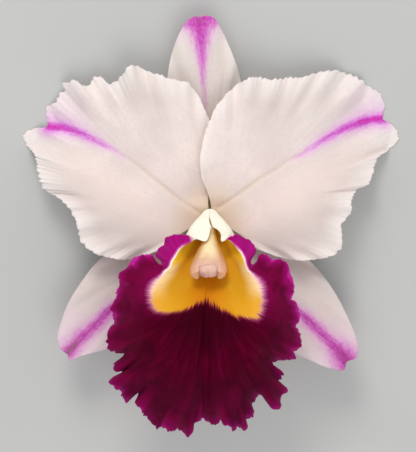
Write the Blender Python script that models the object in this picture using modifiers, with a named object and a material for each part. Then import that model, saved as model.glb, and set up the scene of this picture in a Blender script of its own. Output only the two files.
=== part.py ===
# Cattleya bloom, as picked. It lies face up on its two petal tips and the cut end of its stalk.
#
# Every shape is worked out in the flower's own frame, in millimetres: X runs to the right of the bloom,
# Y towards the dorsal sepal and Z out of its face. The parent empty lays that frame down on the table.
# A blade is a fan of veins. Each vein leaves the claw, bows along the blade's axis and ends at the margin.

import math

import bmesh
import bpy
import numpy as np

MM = 0.001

# How the bloom lies
TILT = math.radians(7.0)
REST_HEIGHT = 18.55
SHIFT = (-0.7, 2.9)
SIGHT = 600.0

# Knob and stalk
KNOB_Y = -2.2
KNOB_RADIUS = 4.1
KNOB_FRONT = 3.0
SEAT_GAP = 0.3
STALK_END = (0.0, -70.0)
STALK_END_RADIUS = 2.6
STALK_SPOT_DEPTH = 0.15

# Thickness of the blades at the claw and at the margin
CLAW_THICKNESS = 1.4
MARGIN_THICKNESS = 0.7

# Rows from claw to margin and columns round the margin
PETAL_GRID = (9, 60)
SEPAL_GRID = (8, 30)
LIP_ROWS = 11

# How far a vein bows along the blade's axis and across it on its way out
BOW = (0.55, 0.36)

# Petals: directions of their axes, spread of the claw, rise of the upper and lower half beside the valley and
# its half width, fall of the tip over the whole reach, and the offset of each petal where the two overlap
PETAL_LEFT_AXIS = 154.0
PETAL_RIGHT_AXIS = 27.0
PETAL_CLAW = 50.0
PETAL_RISES = (6.5, 5.0)
PETAL_VALLEY = 15.0
PETAL_TIP_FALL = 17.6
PETAL_REACH = 82.0
PETAL_OVERLAP = {"front": 1.6, "behind": -2.2}
PETAL_WAVE = 1.5
PETAL_WAVE_LENGTHS = (11.5, 21.0)

# Sepals: directions of their axes, spread of the claw, depth behind the petals, how far the sides roll back
# at half their width, and the rise of the tips over the whole reach
SEPAL_DORSAL_AXIS = 92.0
SEPAL_LEFT_AXIS = 224.0
SEPAL_RIGHT_AXIS = 313.0
SEPAL_CLAW = 30.0
SEPAL_DEPTH = -5.0
SEPAL_ROLL = 1.6
SEPAL_HALF_WIDTH = 14.0
SEPAL_REACH = 80.0
SEPAL_DORSAL_TIP = 7.0
SEPAL_LATERAL_TIP = -1.0
SEPAL_WAVE = 0.8
SEPAL_WAVE_LENGTH = 17.0

# Margins as seen from SIGHT in front of the flower, from the lower edge of the claw to the upper one
PETAL_RIGHT_MARGIN = [
    (19.0, -14.2), (29.4, -17.7), (36.3, -18.5), (43.5, -18.1), (49.6, -16.5),
    (52.8, -13.3), (53.0, -7.3), (52.8, -4.8), (56.4, 0.4), (57.5, 7.2), (59.4, 10.0), (63.6, 12.0),
    (65.3, 16.1), (67.5, 22.6), (71.8, 25.8), (75.8, 31.0), (73.4, 35.5), (69.2, 37.3), (69.6, 44.4),
    (66.9, 49.2), (62.9, 52.0), (58.5, 55.2), (52.4, 57.3), (46.8, 57.7), (41.9, 56.4), (36.3, 55.2),
    (29.4, 54.4), (24.2, 54.0), (18.5, 55.0), (12.1, 53.2), (7.3, 48.8), (2.8, 43.5), (0.0, 37.5),
    (-2.8, 29.4), (-4.0, 21.4), (-3.2, 14.1),
]
PETAL_LEFT_MARGIN = [
    (-19.0, -14.0), (-31.0, -18.1), (-39.5, -17.7), (-46.4, -15.7), (-52.0, -10.5),
    (-53.6, -4.2), (-56.4, 2.0), (-62.1, 7.3), (-66.6, 9.7), (-68.9, 16.1), (-71.0, 24.6),
    (-73.6, 27.4), (-74.4, 31.6), (-71.4, 34.3), (-65.2, 35.2), (-65.5, 42.7), (-60.8, 48.6),
    (-58.8, 52.0), (-53.8, 53.6), (-48.8, 51.8), (-46.4, 55.0), (-40.6, 53.2), (-34.7, 56.9),
    (-30.2, 59.3), (-22.2, 56.4), (-12.9, 54.0), (-6.9, 50.8), (-2.8, 43.9), (0.4, 36.0), (2.2, 28.0),
    (2.6, 20.0),
]
SEPAL_DORSAL_MARGIN = [
    (10.0, 24.0), (13.2, 40.0), (12.6, 52.0), (10.9, 59.3), (8.1, 66.5), (4.8, 73.8),
    (1.6, 78.8), (-1.4, 79.9), (-4.0, 79.3), (-5.8, 79.5), (-8.5, 78.2), (-12.1, 73.0), (-14.9, 66.1),
    (-16.7, 58.1), (-17.4, 48.0), (-16.0, 35.0), (-12.4, 23.0),
]
SEPAL_LEFT_MARGIN = [
    (-26.0, -9.6), (-36.5, -14.0), (-44.4, -18.5), (-51.2, -26.6), (-56.4, -34.7),
    (-59.7, -42.7), (-61.3, -50.8), (-60.1, -54.4), (-57.2, -56.8), (-56.6, -58.8), (-52.4, -57.3),
    (-44.4, -55.2), (-36.0, -52.0), (-27.0, -43.5), (-17.5, -30.5),
]
SEPAL_RIGHT_MARGIN = [
    (25.0, -46.0), (32.7, -54.8), (40.3, -58.9), (48.4, -62.1),
    (54.0, -62.5), (55.0, -59.6), (58.5, -58.1), (59.7, -55.0), (58.5, -49.2), (55.6, -41.9),
    (52.0, -34.7), (46.8, -26.6), (39.5, -18.5), (27.0, -11.2),
]

# Margin of the lip, from the top seam of its tube down the left side, round the front lobe and back
LIP_MARGIN = [
    (0.3, -5.1), (-1.6, -10.7), (-6.0, -9.7), (-10.5, -8.7), (-15.3, -8.5), (-17.9, -10.3),
    (-18.2, -12.0), (-20.8, -14.1), (-21.8, -17.1), (-19.4, -19.4), (-20.2, -20.8), (-21.8, -19.8),
    (-24.0, -18.1), (-25.8, -17.1), (-28.6, -16.9), (-31.5, -18.3), (-33.5, -21.4), (-36.3, -25.0),
    (-36.5, -28.2), (-38.0, -31.4), (-37.6, -33.1), (-40.1, -38.3), (-38.4, -41.5), (-40.3, -46.0),
    (-41.9, -50.8), (-40.3, -53.6), (-34.9, -56.4), (-39.0, -60.8), (-38.4, -62.8), (-35.2, -63.8),
    (-38.8, -66.9), (-39.0, -69.3), (-36.5, -71.4), (-35.2, -75.4), (-32.3, -75.2), (-29.2, -72.6),
    (-28.8, -76.8), (-26.6, -80.6), (-24.5, -83.5), (-21.0, -86.7), (-18.7, -84.4), (-16.5, -86.9),
    (-12.9, -86.3), (-8.6, -89.5), (-6.6, -86.8), (-5.2, -83.2), (-3.0, -82.5), (0.8, -84.9),
    (4.4, -83.1), (7.6, -85.0), (9.6, -88.3), (12.0, -86.3), (14.2, -86.9), (15.1, -83.7),
    (17.2, -82.0), (17.4, -79.3), (18.4, -75.6), (21.0, -73.4), (24.3, -76.8), (26.8, -78.6),
    (28.8, -76.4), (29.3, -73.6), (30.8, -71.0), (29.0, -67.6), (29.6, -65.6), (27.2, -62.0),
    (27.2, -59.8), (30.2, -58.1), (33.9, -58.0), (33.2, -54.8), (36.5, -53.8), (36.2, -51.0),
    (36.7, -48.4), (34.8, -45.0), (36.3, -41.6), (35.1, -35.8), (32.6, -34.2), (33.9, -31.0),
    (33.1, -25.8), (30.6, -19.8), (27.5, -18.1), (25.2, -18.5), (22.2, -16.6), (19.9, -17.0),
    (18.9, -18.8), (17.3, -20.2), (16.0, -18.4), (18.3, -14.5), (17.0, -11.7), (14.1, -10.1),
    (10.5, -8.6), (7.3, -10.0), (4.6, -10.9), (4.8, -7.3), (1.2, -5.1),
]

# Stations of the lip: the margin point faced, the angle round the tube from the seam, the crest that
# stands furthest out of the face, and the height of the margin
LIP_STATIONS = [
    (0, 2.2, (-0.1, -4.2, 13.2), 15.0),
    (1, 30, (-1.6, -9.4, 16.4), 17.8),
    (2, 50, (-5.6, -11.4, 18.5), 18.6),
    (3, 68, (-10.1, -12.9, 20.2), 17.6),
    (5, 88, (-13.3, -16.1, 22.6), 15.8),
    (8, 104, (-15.7, -19.8, 25.0), 17.8),
    (10, 114, (-17.6, -22.2, 27.0), 23.0),
    (15, 124, (-20.0, -26.5, 29.5), 20.0),
    (20, 136, (-21.5, -34.0, 32.0), 18.0),
    (25, 148, (-20.5, -44.0, 33.5), 17.5),
    (31, 158, (-17.0, -52.0, 34.0), 17.0),
    (37, 167, (-11.5, -57.5, 34.0), 16.5),
    (43, 175, (-5.0, -60.0, 33.3), 16.0),
    (46, 180, (-1.6, -60.0, 32.0), 18.0),
    (50, 186, (3.5, -59.0, 33.3), 16.0),
    (57, 194, (9.5, -56.0, 34.0), 18.0),
    (64, 203, (14.5, -51.0, 34.0), 18.0),
    (70, 213, (18.0, -43.5, 33.5), 17.5),
    (76, 224, (19.3, -34.5, 32.0), 19.0),
    (80, 236, (18.8, -27.5, 29.8), 20.0),
    (85, 246, (16.5, -22.6, 27.0), 23.0),
    (87, 256, (14.5, -18.8, 24.4), 18.0),
    (89, 275, (11.2, -14.4, 21.0), 16.0),
    (91, 300, (7.4, -11.6, 18.7), 19.4),
    (92, 325, (5.0, -9.4, 16.7), 18.2),
    (93, 341, (4.2, -6.4, 14.3), 16.4),
    (94, 357.8, (0.9, -4.3, 13.3), 15.0),
]

# Ruffle of the front lobe: its height, its wave lengths and how far round the margin it starts
LIP_WAVE = 1.6
LIP_WAVE_LENGTHS = (12.0, 19.0)
LIP_WAVE_START = (45.0, 70.0)
LIP_CLAW_THICKNESS = 1.0

# The tube of the lip and the column in it lean out of the face along one axis
AXIS_START = (0.0, -2.2, KNOB_FRONT + SEAT_GAP)
AXIS_ANGLE = math.radians(43.8)
TUBE_BASE_RADIUS = 3.9
TUBE_BASE_PINCH = 0.15
TUBE_BASE_LIFT = 0.3
TUBE_TOP = (6.0, 5.6)
TUBE_FLOOR = (27.0, 8.5)
TUBE_HALF_WIDTH = 11.0

# Column: distance along the axis, half its width and half its depth; how far its end leans aside, how far its
# teeth stand past that end, how far it is cut back between them, and the size of the seat between them
COLUMN_SECTIONS = [
    (0.0, 2.3, 2.3), (6.0, 2.3, 2.4), (12.0, 3.2, 2.7), (18.5, 5.2, 3.1), (23.5, 6.7, 3.2),
    (27.0, 7.2, 3.1), (29.3, 6.7, 2.8),
]
COLUMN_LEAN = -0.7
COLUMN_TOOTH = 0.6
COLUMN_NOTCH = 1.7
COLUMN_POCKET = 0.7
COLUMN_END_START = 22.0

# Anther cap: half its width, half its depth, its length and how far it sits above the column's middle
CAP_RADII = (3.2, 2.6, 2.7)
CAP_RISE = 0.6

# Stalk: centre line and radius from the knob to the cut end
STALK_LINE = [
    (-2.2, 3.0, 4.1), (-2.2, -1.0, 4.1), (-2.2, -5.0, 4.1), (-2.4, -8.5, 4.0), (-4.4, -12.0, 3.8),
    (-9.0, -15.0, 3.5), (-17.0, -17.2, 3.1), (-30.0, -19.2, 2.6), (-48.0, -21.7, 2.4),
]


def table(y):
    """Height of the table in the flower's frame."""
    return (y * math.sin(TILT) - REST_HEIGHT) / math.cos(TILT)


def seen(x, y, z):
    """The point at depth z that shows at x, y from SIGHT in front of the flower."""
    near = 1.0 - z / SIGHT
    return np.stack([x * near, y * near, z], axis=-1)


def smoothstep(low, high, value):
    u = np.clip((value - low) / (high - low), 0.0, 1.0)
    return u * u * (3.0 - 2.0 * u)


def through(knots, values, where):
    """Smooth curve through the values at the knots, read at the given places."""
    knots = np.asarray(knots, float)
    values = np.asarray(values, float)
    step = np.diff(knots)
    step_column = step.reshape([-1] + [1] * (values.ndim - 1))
    slope = np.diff(values, axis=0) / step_column
    inner = slope[:-1] * step_column[1:] + slope[1:] * step_column[:-1]
    inner = inner / (step_column[1:] + step_column[:-1])
    tangent = np.concatenate([slope[:1], inner, slope[-1:]])
    where = np.asarray(where, float)
    i = np.clip(np.searchsorted(knots, where, side="right") - 1, 0, len(step) - 1)
    shape = [-1] + [1] * (values.ndim - 1)
    h = step[i].reshape(shape)
    u = ((where - knots[i]) / step[i]).reshape(shape)
    return (
        values[i] * (1 + 2 * u) * (1 - u) ** 2
        + values[i + 1] * u * u * (3 - 2 * u)
        + tangent[i] * h * u * (1 - u) ** 2
        + tangent[i + 1] * h * u * u * (u - 1)
    )


def lengths(points):
    """Distance of each point along the line through all of them."""
    steps = np.linalg.norm(np.diff(np.asarray(points, float), axis=0), axis=1)
    return np.concatenate([[0.0], np.cumsum(steps)])


def evenly(points, count):
    """Points at even distances along the smooth curve through a few points."""
    knots = lengths(points)
    fine = through(knots, points, np.linspace(0.0, knots[-1], 12 * len(points)))
    along = lengths(fine)
    places = np.linspace(0.0, along[-1], count)
    return np.stack([np.interp(places, along, fine[:, k]) for k in range(2)], axis=-1)


def calmed(points, reach):
    """The line with its teeth and notches averaged out over a few points to each side."""
    padded = np.concatenate([[points[0]] * reach, points, [points[-1]] * reach])
    hill = np.hanning(2 * reach + 3)[1:-1]
    return np.stack([np.convolve(padded[:, k], hill / hill.sum(), "valid") for k in range(2)], axis=-1)


def fan(margin, grid, axis_deg, claw_deg, turn):
    """Flat fan of veins: X and Y of every grid point, and its place on the blade's own axes."""
    rows, columns = grid
    rim = evenly(margin, columns + 1)
    calm = calmed(rim, columns // 12)
    along = lengths(calm)
    claw = np.radians(np.linspace(axis_deg - turn * claw_deg, axis_deg + turn * claw_deg, columns + 1))
    reach = KNOB_RADIUS + SEAT_GAP
    base = np.stack([reach * np.cos(claw), KNOB_Y + reach * np.sin(claw)], axis=-1)
    axis = np.array([math.cos(math.radians(axis_deg)), math.sin(math.radians(axis_deg))])
    across = turn * np.array([-axis[1], axis[0]])
    out = calm - base
    bow = base + BOW[0] * np.outer(out @ axis, axis) + BOW[1] * np.outer(out @ across, across)
    s = np.linspace(0.0, 1.0, rows + 1)[:, None, None]
    flat = (1 - s) ** 2 * base + 2 * s * (1 - s) * bow + s * s * rim
    return flat, s[..., 0], along, flat @ axis, flat @ across


def blade_thickness(s, columns):
    return np.repeat(CLAW_THICKNESS + (MARGIN_THICKNESS - CLAW_THICKNESS) * smoothstep(0, 0.6, s), columns, 1)


def above_table(points, thickness):
    """Flattens what would reach below the table, leaving room for half the thickness."""
    floor = table(points[..., 1]) + 0.5 * thickness / math.cos(TILT)
    points[..., 2] = np.maximum(points[..., 2], floor)
    return points


def petal_points(margin, axis_deg, turn, overlap):
    """A broad petal: a valley along the midrib, raised halves, a ruffled margin and a tip bent back."""
    flat, s, along, a, b = fan(margin, PETAL_GRID, axis_deg, PETAL_CLAW, turn)
    x, y = flat[..., 0], flat[..., 1]
    raised = np.where(b > 0, *PETAL_RISES) * (1 - np.exp(-((b / PETAL_VALLEY) ** 2)))
    z = -1.0 + raised * smoothstep(2.0, 22.0, np.hypot(a, b))
    z = z - PETAL_TIP_FALL * np.clip(a / PETAL_REACH, 0, None) ** 3
    inner = smoothstep(14.0, 2.0, np.abs(x + 0.5)) * smoothstep(2.5, 8.0, y)
    z = z + PETAL_OVERLAP[overlap] * inner
    long_wave = 0.6 * np.sin(2 * math.pi * along / PETAL_WAVE_LENGTHS[1] + 1.3)
    wave = np.sin(2 * math.pi * along / PETAL_WAVE_LENGTHS[0]) + long_wave
    z = z + PETAL_WAVE * smoothstep(0.55, 1.0, s) ** 1.5 * wave * (1 - 0.8 * inner)
    thickness = blade_thickness(s, flat.shape[1])
    return above_table(seen(x, y, z), thickness), thickness


def sepal_points(margin, axis_deg, tip_rise):
    """A narrow sepal behind the petals: its sides roll back and its tip lifts."""
    flat, s, along, a, b = fan(margin, SEPAL_GRID, axis_deg, SEPAL_CLAW, 1)
    z = SEPAL_DEPTH + tip_rise * np.clip(a / SEPAL_REACH, 0, None) ** 3
    z = z - SEPAL_ROLL * (b / SEPAL_HALF_WIDTH) ** 2
    z = z + SEPAL_WAVE * smoothstep(0.7, 1.0, s) * np.sin(2 * math.pi * along / SEPAL_WAVE_LENGTH)
    thickness = blade_thickness(s, flat.shape[1])
    return above_table(seen(flat[..., 0], flat[..., 1], z), thickness), thickness


def tube_ring(angle, distance, half_width, half_depth):
    """Points round the tube's axis; the angle starts at the seam, on the side away from the floor."""
    along = np.array([0.0, -math.cos(AXIS_ANGLE), math.sin(AXIS_ANGLE)])
    up = np.array([0.0, math.sin(AXIS_ANGLE), math.cos(AXIS_ANGLE)])
    centre = np.array(AXIS_START) + np.multiply.outer(distance, along)
    side = np.multiply.outer(-half_width * np.sin(angle), [1.0, 0.0, 0.0])
    return centre + side + np.multiply.outer(half_depth * np.cos(angle), up)


def relaxed(points, rounds):
    """Evens out a grid of points; its outer edges stay where they are."""
    for _ in range(rounds):
        around = points[1:-1, :-2] + points[1:-1, 2:] + points[:-2, 1:-1] + points[2:, 1:-1]
        points[1:-1, 1:-1] = 0.4 * points[1:-1, 1:-1] + 0.15 * around
    return points


def lip_points():
    """The lip as veins that run along its tube, over the crest of the throat and out to the margin."""
    margin = np.array(LIP_MARGIN)
    along = lengths(calmed(margin, 4))
    faced, angle, crest, height = zip(*LIP_STATIONS)
    turn = np.arange(len(margin))
    angle = np.radians(through(faced, angle, turn))
    crest = through(faced, crest, turn)
    height = through(faced, height, turn)
    lobe = smoothstep(*LIP_WAVE_START, along) * smoothstep(*LIP_WAVE_START, along[-1] - along)
    short, long = LIP_WAVE_LENGTHS
    wave = np.sin(2 * math.pi * along / short) + 0.5 * np.sin(2 * math.pi * along / long)
    height = height + LIP_WAVE * lobe * wave
    start = np.array(AXIS_START) + np.array([0.0, 0.0, TUBE_BASE_LIFT])
    pinch = 1.0 - TUBE_BASE_PINCH * smoothstep(-0.3, 1.0, np.cos(angle))
    base = start + TUBE_BASE_RADIUS * np.stack([-np.sin(angle) * pinch, np.cos(angle), 0 * angle], axis=-1)
    low = 0.5 - 0.5 * np.cos(angle)
    distance = TUBE_TOP[0] + (TUBE_FLOOR[0] - TUBE_TOP[0]) * low
    half_depth = TUBE_TOP[1] + (TUBE_FLOOR[1] - TUBE_TOP[1]) * low
    throat = tube_ring(angle, distance, TUBE_HALF_WIDTH, half_depth)
    crest = seen(crest[:, 0], crest[:, 1], crest[:, 2])
    rim = seen(margin[:, 0], margin[:, 1], height)
    columns = []
    for guides in zip(base, throat, crest, rim):
        knots = lengths(guides)
        columns.append(through(knots, guides, np.linspace(0.0, knots[-1], LIP_ROWS + 1)))
    points = relaxed(np.stack(columns, axis=1), 3)
    thickness = np.linspace(LIP_CLAW_THICKNESS, MARGIN_THICKNESS, LIP_ROWS + 1)
    return points, np.repeat(thickness[:, None], len(margin), 1)


def material(name, colour, roughness):
    made = bpy.data.materials.new(name)
    made.use_nodes = True
    shader = made.node_tree.nodes["Principled BSDF"]
    shader.inputs["Base Color"].default_value = (*colour, 1.0)
    shader.inputs["Roughness"].default_value = roughness
    shader.inputs["Metallic"].default_value = 0.0
    return made


def place(mesh, name, finish):
    """One object in the bloom's frame, in metres."""
    mesh.materials.append(finish)
    piece = bpy.data.objects.new(name, mesh)
    collection.objects.link(piece)
    piece.parent = bloom
    return piece


def sheet(name, points, thickness, finish):
    """A grid laid on the points and split into triangles, with the thickness on both sides of it."""
    rows, columns = points.shape[0] - 1, points.shape[1] - 1
    grid = bmesh.new()
    bmesh.ops.create_grid(grid, x_segments=columns, y_segments=rows, size=0.5)
    mesh = bpy.data.meshes.new(name)
    weights = {}
    grid.verts.index_update()
    for vertex in grid.verts:
        row = round((vertex.co.y + 0.5) * rows)
        column = round((vertex.co.x + 0.5) * columns)
        vertex.co = points[row, column] * MM
        weights[vertex.index] = thickness[row, column]
    bmesh.ops.triangulate(grid, faces=grid.faces[:], quad_method="FIXED")
    grid.to_mesh(mesh)
    grid.free()
    piece = place(mesh, name, finish)
    thickest = float(thickness.max())
    group = piece.vertex_groups.new(name="thickness")
    for index, value in weights.items():
        group.add([index], float(value) / thickest, "REPLACE")
    solid = piece.modifiers.new("Solidify", "SOLIDIFY")
    solid.thickness = thickest * MM
    solid.offset = 0.0
    solid.vertex_group = group.name
    solid.thickness_vertex_group = 0.0
    mesh.shade_smooth()
    return piece


def loft(name, rings, finish):
    """A closed body through rings of points, with both ends filled."""
    rows, around = len(rings) - 1, len(rings[0])
    grid = bmesh.new()
    bmesh.ops.create_grid(grid, x_segments=around, y_segments=rows, size=0.5)
    for vertex in grid.verts:
        row = round((vertex.co.y + 0.5) * rows)
        column = round((vertex.co.x + 0.5) * around) % around
        vertex.co = rings[row][column] * MM
    bmesh.ops.remove_doubles(grid, verts=grid.verts[:], dist=0.00001)
    bmesh.ops.holes_fill(grid, edges=grid.edges[:], sides=0)
    bmesh.ops.triangulate(grid, faces=grid.faces[:])
    bmesh.ops.recalc_face_normals(grid, faces=grid.faces[:])
    mesh = bpy.data.meshes.new(name)
    grid.to_mesh(mesh)
    grid.free()
    mesh.shade_smooth()
    mesh.set_sharp_from_angle(angle=math.radians(50))
    return place(mesh, name, finish)


def column_frame(place_on):
    """Middle of the column at a distance along it, and the ways along it and up from it."""
    along = np.array([0.0, -math.cos(AXIS_ANGLE), math.sin(AXIS_ANGLE)])
    up = np.array([0.0, math.sin(AXIS_ANGLE), math.cos(AXIS_ANGLE)])
    aside = COLUMN_LEAN * (place_on / COLUMN_SECTIONS[-1][0]) ** 2
    return np.array(AXIS_START) + along * place_on + np.array([aside, 0.0, 0.0]), along, up


def column_rings(around=24, rows=13):
    """Column: narrow at its base, widening to two wings that end in teeth beside the anther cap."""
    turn = np.linspace(0.0, 2 * math.pi, around, endpoint=False)
    knots = [section[0] for section in COLUMN_SECTIONS]
    places = np.linspace(0.0, knots[-1], rows)
    halves = through(knots, [section[1:] for section in COLUMN_SECTIONS], places)
    tooth = smoothstep(0.55, 0.7, np.abs(np.sin(turn)))
    rings = []
    for place_on, (wide, deep) in zip(places, halves):
        centre, along, up = column_frame(place_on)
        lean = smoothstep(0.0, 8.0, place_on)
        way = along * lean + np.array([0.0, 0.0, 1.0]) * (1 - lean)
        high = up * lean + np.array([0.0, 1.0, 0.0]) * (1 - lean)
        ridge = 1.0 + 0.25 * lean * np.clip(np.cos(turn), 0, None) ** 3
        ending = smoothstep(COLUMN_END_START, knots[-1], place_on)
        rings.append(
            centre
            + np.outer(-wide * np.sin(turn), [1.0, 0.0, 0.0])
            + np.outer(deep * np.cos(turn) * ridge, high)
            + np.outer(((COLUMN_TOOTH + COLUMN_NOTCH) * tooth - COLUMN_NOTCH) * ending, way)
        )
    level = np.outer((COLUMN_TOOTH + COLUMN_NOTCH) * tooth, along)
    outline = rings[-1] - level
    seat = centre - along * COLUMN_NOTCH
    for inward, height in ((0.6, 0.85), (1.0, 0.0)):
        size = 1.0 + (COLUMN_POCKET - 1.0) * inward
        rings.append(seat + size * (outline - seat) + level * height)
    return rings


def cap_rings(around=20, rows=8):
    """A blunt cap of two lobes on the end of the column, between its teeth."""
    turn = np.linspace(0.0, 2 * math.pi, around, endpoint=False)
    seat, along, up = column_frame(COLUMN_SECTIONS[-1][0] - COLUMN_NOTCH)
    rings = []
    for out in np.sin(np.linspace(0.0, 0.46 * math.pi, rows)):
        size = math.sqrt(1.0 - out ** 3)
        rings.append(
            seat
            + np.outer(CAP_RADII[0] * size * np.cos(turn), [1.0, 0.0, 0.0])
            + np.outer(CAP_RISE + CAP_RADII[1] * size * np.sin(turn), up)
            + along * (SEAT_GAP + (CAP_RADII[2] - SEAT_GAP) * out)
        )
    return rings


def stalk(finish):
    """Knob, ovary and pedicel as one tube; the cut end rests on a small flat spot."""
    line = bpy.data.curves.new("stalk", "CURVE")
    line.dimensions = "3D"
    line.bevel_depth = MM
    line.bevel_resolution = 3
    line.use_fill_caps = True
    end_z = table(STALK_END[1]) + (STALK_END_RADIUS - STALK_SPOT_DEPTH) / math.cos(TILT)
    guides = [(0.0, y, z, radius) for y, z, radius in STALK_LINE]
    guides.append((*STALK_END, end_z, STALK_END_RADIUS))
    knots = lengths([guide[:3] for guide in guides])
    places = np.concatenate([[0.0], np.linspace(2.0, knots[-1], 26)])
    dense = through(knots, guides, places)
    spline = line.splines.new("POLY")
    spline.points.add(len(dense) - 1)
    for point, (x, y, z, radius) in zip(spline.points, dense):
        point.co = (x * MM, y * MM, z * MM, 1.0)
        point.radius = radius
    guide = bpy.data.objects.new("stalk_line", line)
    collection.objects.link(guide)
    bpy.context.view_layer.update()
    mesh = bpy.data.meshes.new_from_object(guide.evaluated_get(bpy.context.evaluated_depsgraph_get()))
    bpy.data.objects.remove(guide)
    mesh.name = "stalk"
    mesh.materials.clear()
    tube = bmesh.new()
    tube.from_mesh(mesh)
    bmesh.ops.remove_doubles(tube, verts=tube.verts[:], dist=0.00001)
    for vertex in tube.verts:
        vertex.co.z = max(vertex.co.z, table(vertex.co.y / MM) * MM)
    bmesh.ops.triangulate(tube, faces=tube.faces[:])
    bmesh.ops.recalc_face_normals(tube, faces=tube.faces[:])
    tube.to_mesh(mesh)
    tube.free()
    mesh.shade_smooth()
    mesh.set_sharp_from_angle(angle=math.radians(50))
    return place(mesh, "stalk", finish)


for leftover in list(bpy.data.objects):
    bpy.data.objects.remove(leftover)
collection = bpy.data.collections.new("cattleya_bloom")
bpy.context.scene.collection.children.link(collection)
bloom = bpy.data.objects.new("bloom", None)
collection.objects.link(bloom)
bloom.rotation_euler = (-TILT, 0.0, 0.0)
bloom.location = (SHIFT[0] * MM, SHIFT[1] * MM, REST_HEIGHT * MM)

petal_white = material("petal_white", (0.84, 0.76, 0.72), 0.55)
lip_magenta = material("lip_magenta", (0.24, 0.005, 0.09), 0.5)
column_cream = material("column_cream", (0.88, 0.68, 0.4), 0.45)
cap_white = material("cap_white", (0.8, 0.66, 0.62), 0.5)
stalk_green = material("stalk_green", (0.2, 0.32, 0.08), 0.5)

sheet("sepal_dorsal", *sepal_points(SEPAL_DORSAL_MARGIN, SEPAL_DORSAL_AXIS, SEPAL_DORSAL_TIP), petal_white)
sheet("sepal_left", *sepal_points(SEPAL_LEFT_MARGIN, SEPAL_LEFT_AXIS, SEPAL_LATERAL_TIP), petal_white)
sheet("sepal_right", *sepal_points(SEPAL_RIGHT_MARGIN, SEPAL_RIGHT_AXIS, SEPAL_LATERAL_TIP), petal_white)
sheet("petal_left", *petal_points(PETAL_LEFT_MARGIN, PETAL_LEFT_AXIS, -1, "behind"), petal_white)
sheet("petal_right", *petal_points(PETAL_RIGHT_MARGIN, PETAL_RIGHT_AXIS, 1, "front"), petal_white)
sheet("lip", *lip_points(), lip_magenta)
loft("column", column_rings(), column_cream)
loft("anther_cap", cap_rings(), cap_white)
stalk(stalk_green)
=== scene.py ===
# Looks of the cattleya bloom: fine petals, sepals, lip, column, anther cap and stalk over the plain solids.
#
# Shapes are worked out in the flower's own frame, in millimetres, as those of the solids are: X runs to the
# right of the bloom, Y towards the dorsal sepal and Z out of its face. Markings are formulas of the place on
# the blade: how far along a vein, how far from the midrib, how far from the margin.

import math
from functools import partial

import bpy
import numpy as np
from mathutils import Matrix, Vector


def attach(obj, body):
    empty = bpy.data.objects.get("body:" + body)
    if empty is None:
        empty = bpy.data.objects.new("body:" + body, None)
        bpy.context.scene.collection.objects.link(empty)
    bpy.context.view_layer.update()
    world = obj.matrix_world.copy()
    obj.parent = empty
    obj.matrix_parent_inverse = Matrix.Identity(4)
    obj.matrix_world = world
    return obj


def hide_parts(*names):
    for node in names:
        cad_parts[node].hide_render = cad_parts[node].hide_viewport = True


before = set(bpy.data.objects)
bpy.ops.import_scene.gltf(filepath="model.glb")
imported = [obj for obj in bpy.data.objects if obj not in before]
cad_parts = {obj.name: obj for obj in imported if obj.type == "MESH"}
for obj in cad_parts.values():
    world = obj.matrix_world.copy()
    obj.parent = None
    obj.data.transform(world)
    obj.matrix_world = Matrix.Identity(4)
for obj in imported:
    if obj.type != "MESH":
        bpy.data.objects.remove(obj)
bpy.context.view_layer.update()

MM = 0.001

# How the bloom lies, and the distance it is looked at from
TILT = math.radians(7)
REST_HEIGHT = 18.55
SHIFT = (-0.7, 2.9)
SIGHT = 600.0

# The photograph's frame: its size and the flower's origin in pixels, and millimetres to a pixel there
PHOTO_SIZE = (416, 452)
PHOTO_ORIGIN = (210, 214)
PHOTO_SCALE = 0.4032
SENSOR_WIDTH = 36.0

# Knob and stalk
KNOB_Y = -2.2
KNOB_RADIUS = 4.1
KNOB_FRONT = 3.0
SEAT_GAP = 0.3
STALK_END = (0, -70)
STALK_END_RADIUS = 2.6
STALK_LINE = [
    (-2.2, 3, 4.1), (-2.2, -1, 4.1), (-2.2, -5, 4.1), (-2.4, -8.5, 4), (-4.4, -12, 3.8),
    (-9, -15, 3.5), (-17, -17.2, 3.1), (-30, -19.2, 2.6), (-48, -21.7, 2.4),
]

# Thickness of the tissue at the claw and at the margin
CLAW_THICKNESS = 1.3
MARGIN_THICKNESS = 0.42

# Rows from claw to margin, columns round the margin, half the angle of the claw and the frill of the margin
PETAL_FAN = (84, 380, 50, 0.4)
SEPAL_FAN = (60, 200, 30, 0.05)

# The part of a blade's columns that its calm margin is averaged over, the rows of the lip's cage, how much
# finer its rows and columns get, how often directions are evened out and how far past a crest the yellow ends
CALM_SHARE = 12
LIP_ROWS = 11
LIP_FINER = (4, 10)
NORMAL_ROUNDS = 5
CREST_SHIFT = 0.3

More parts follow.
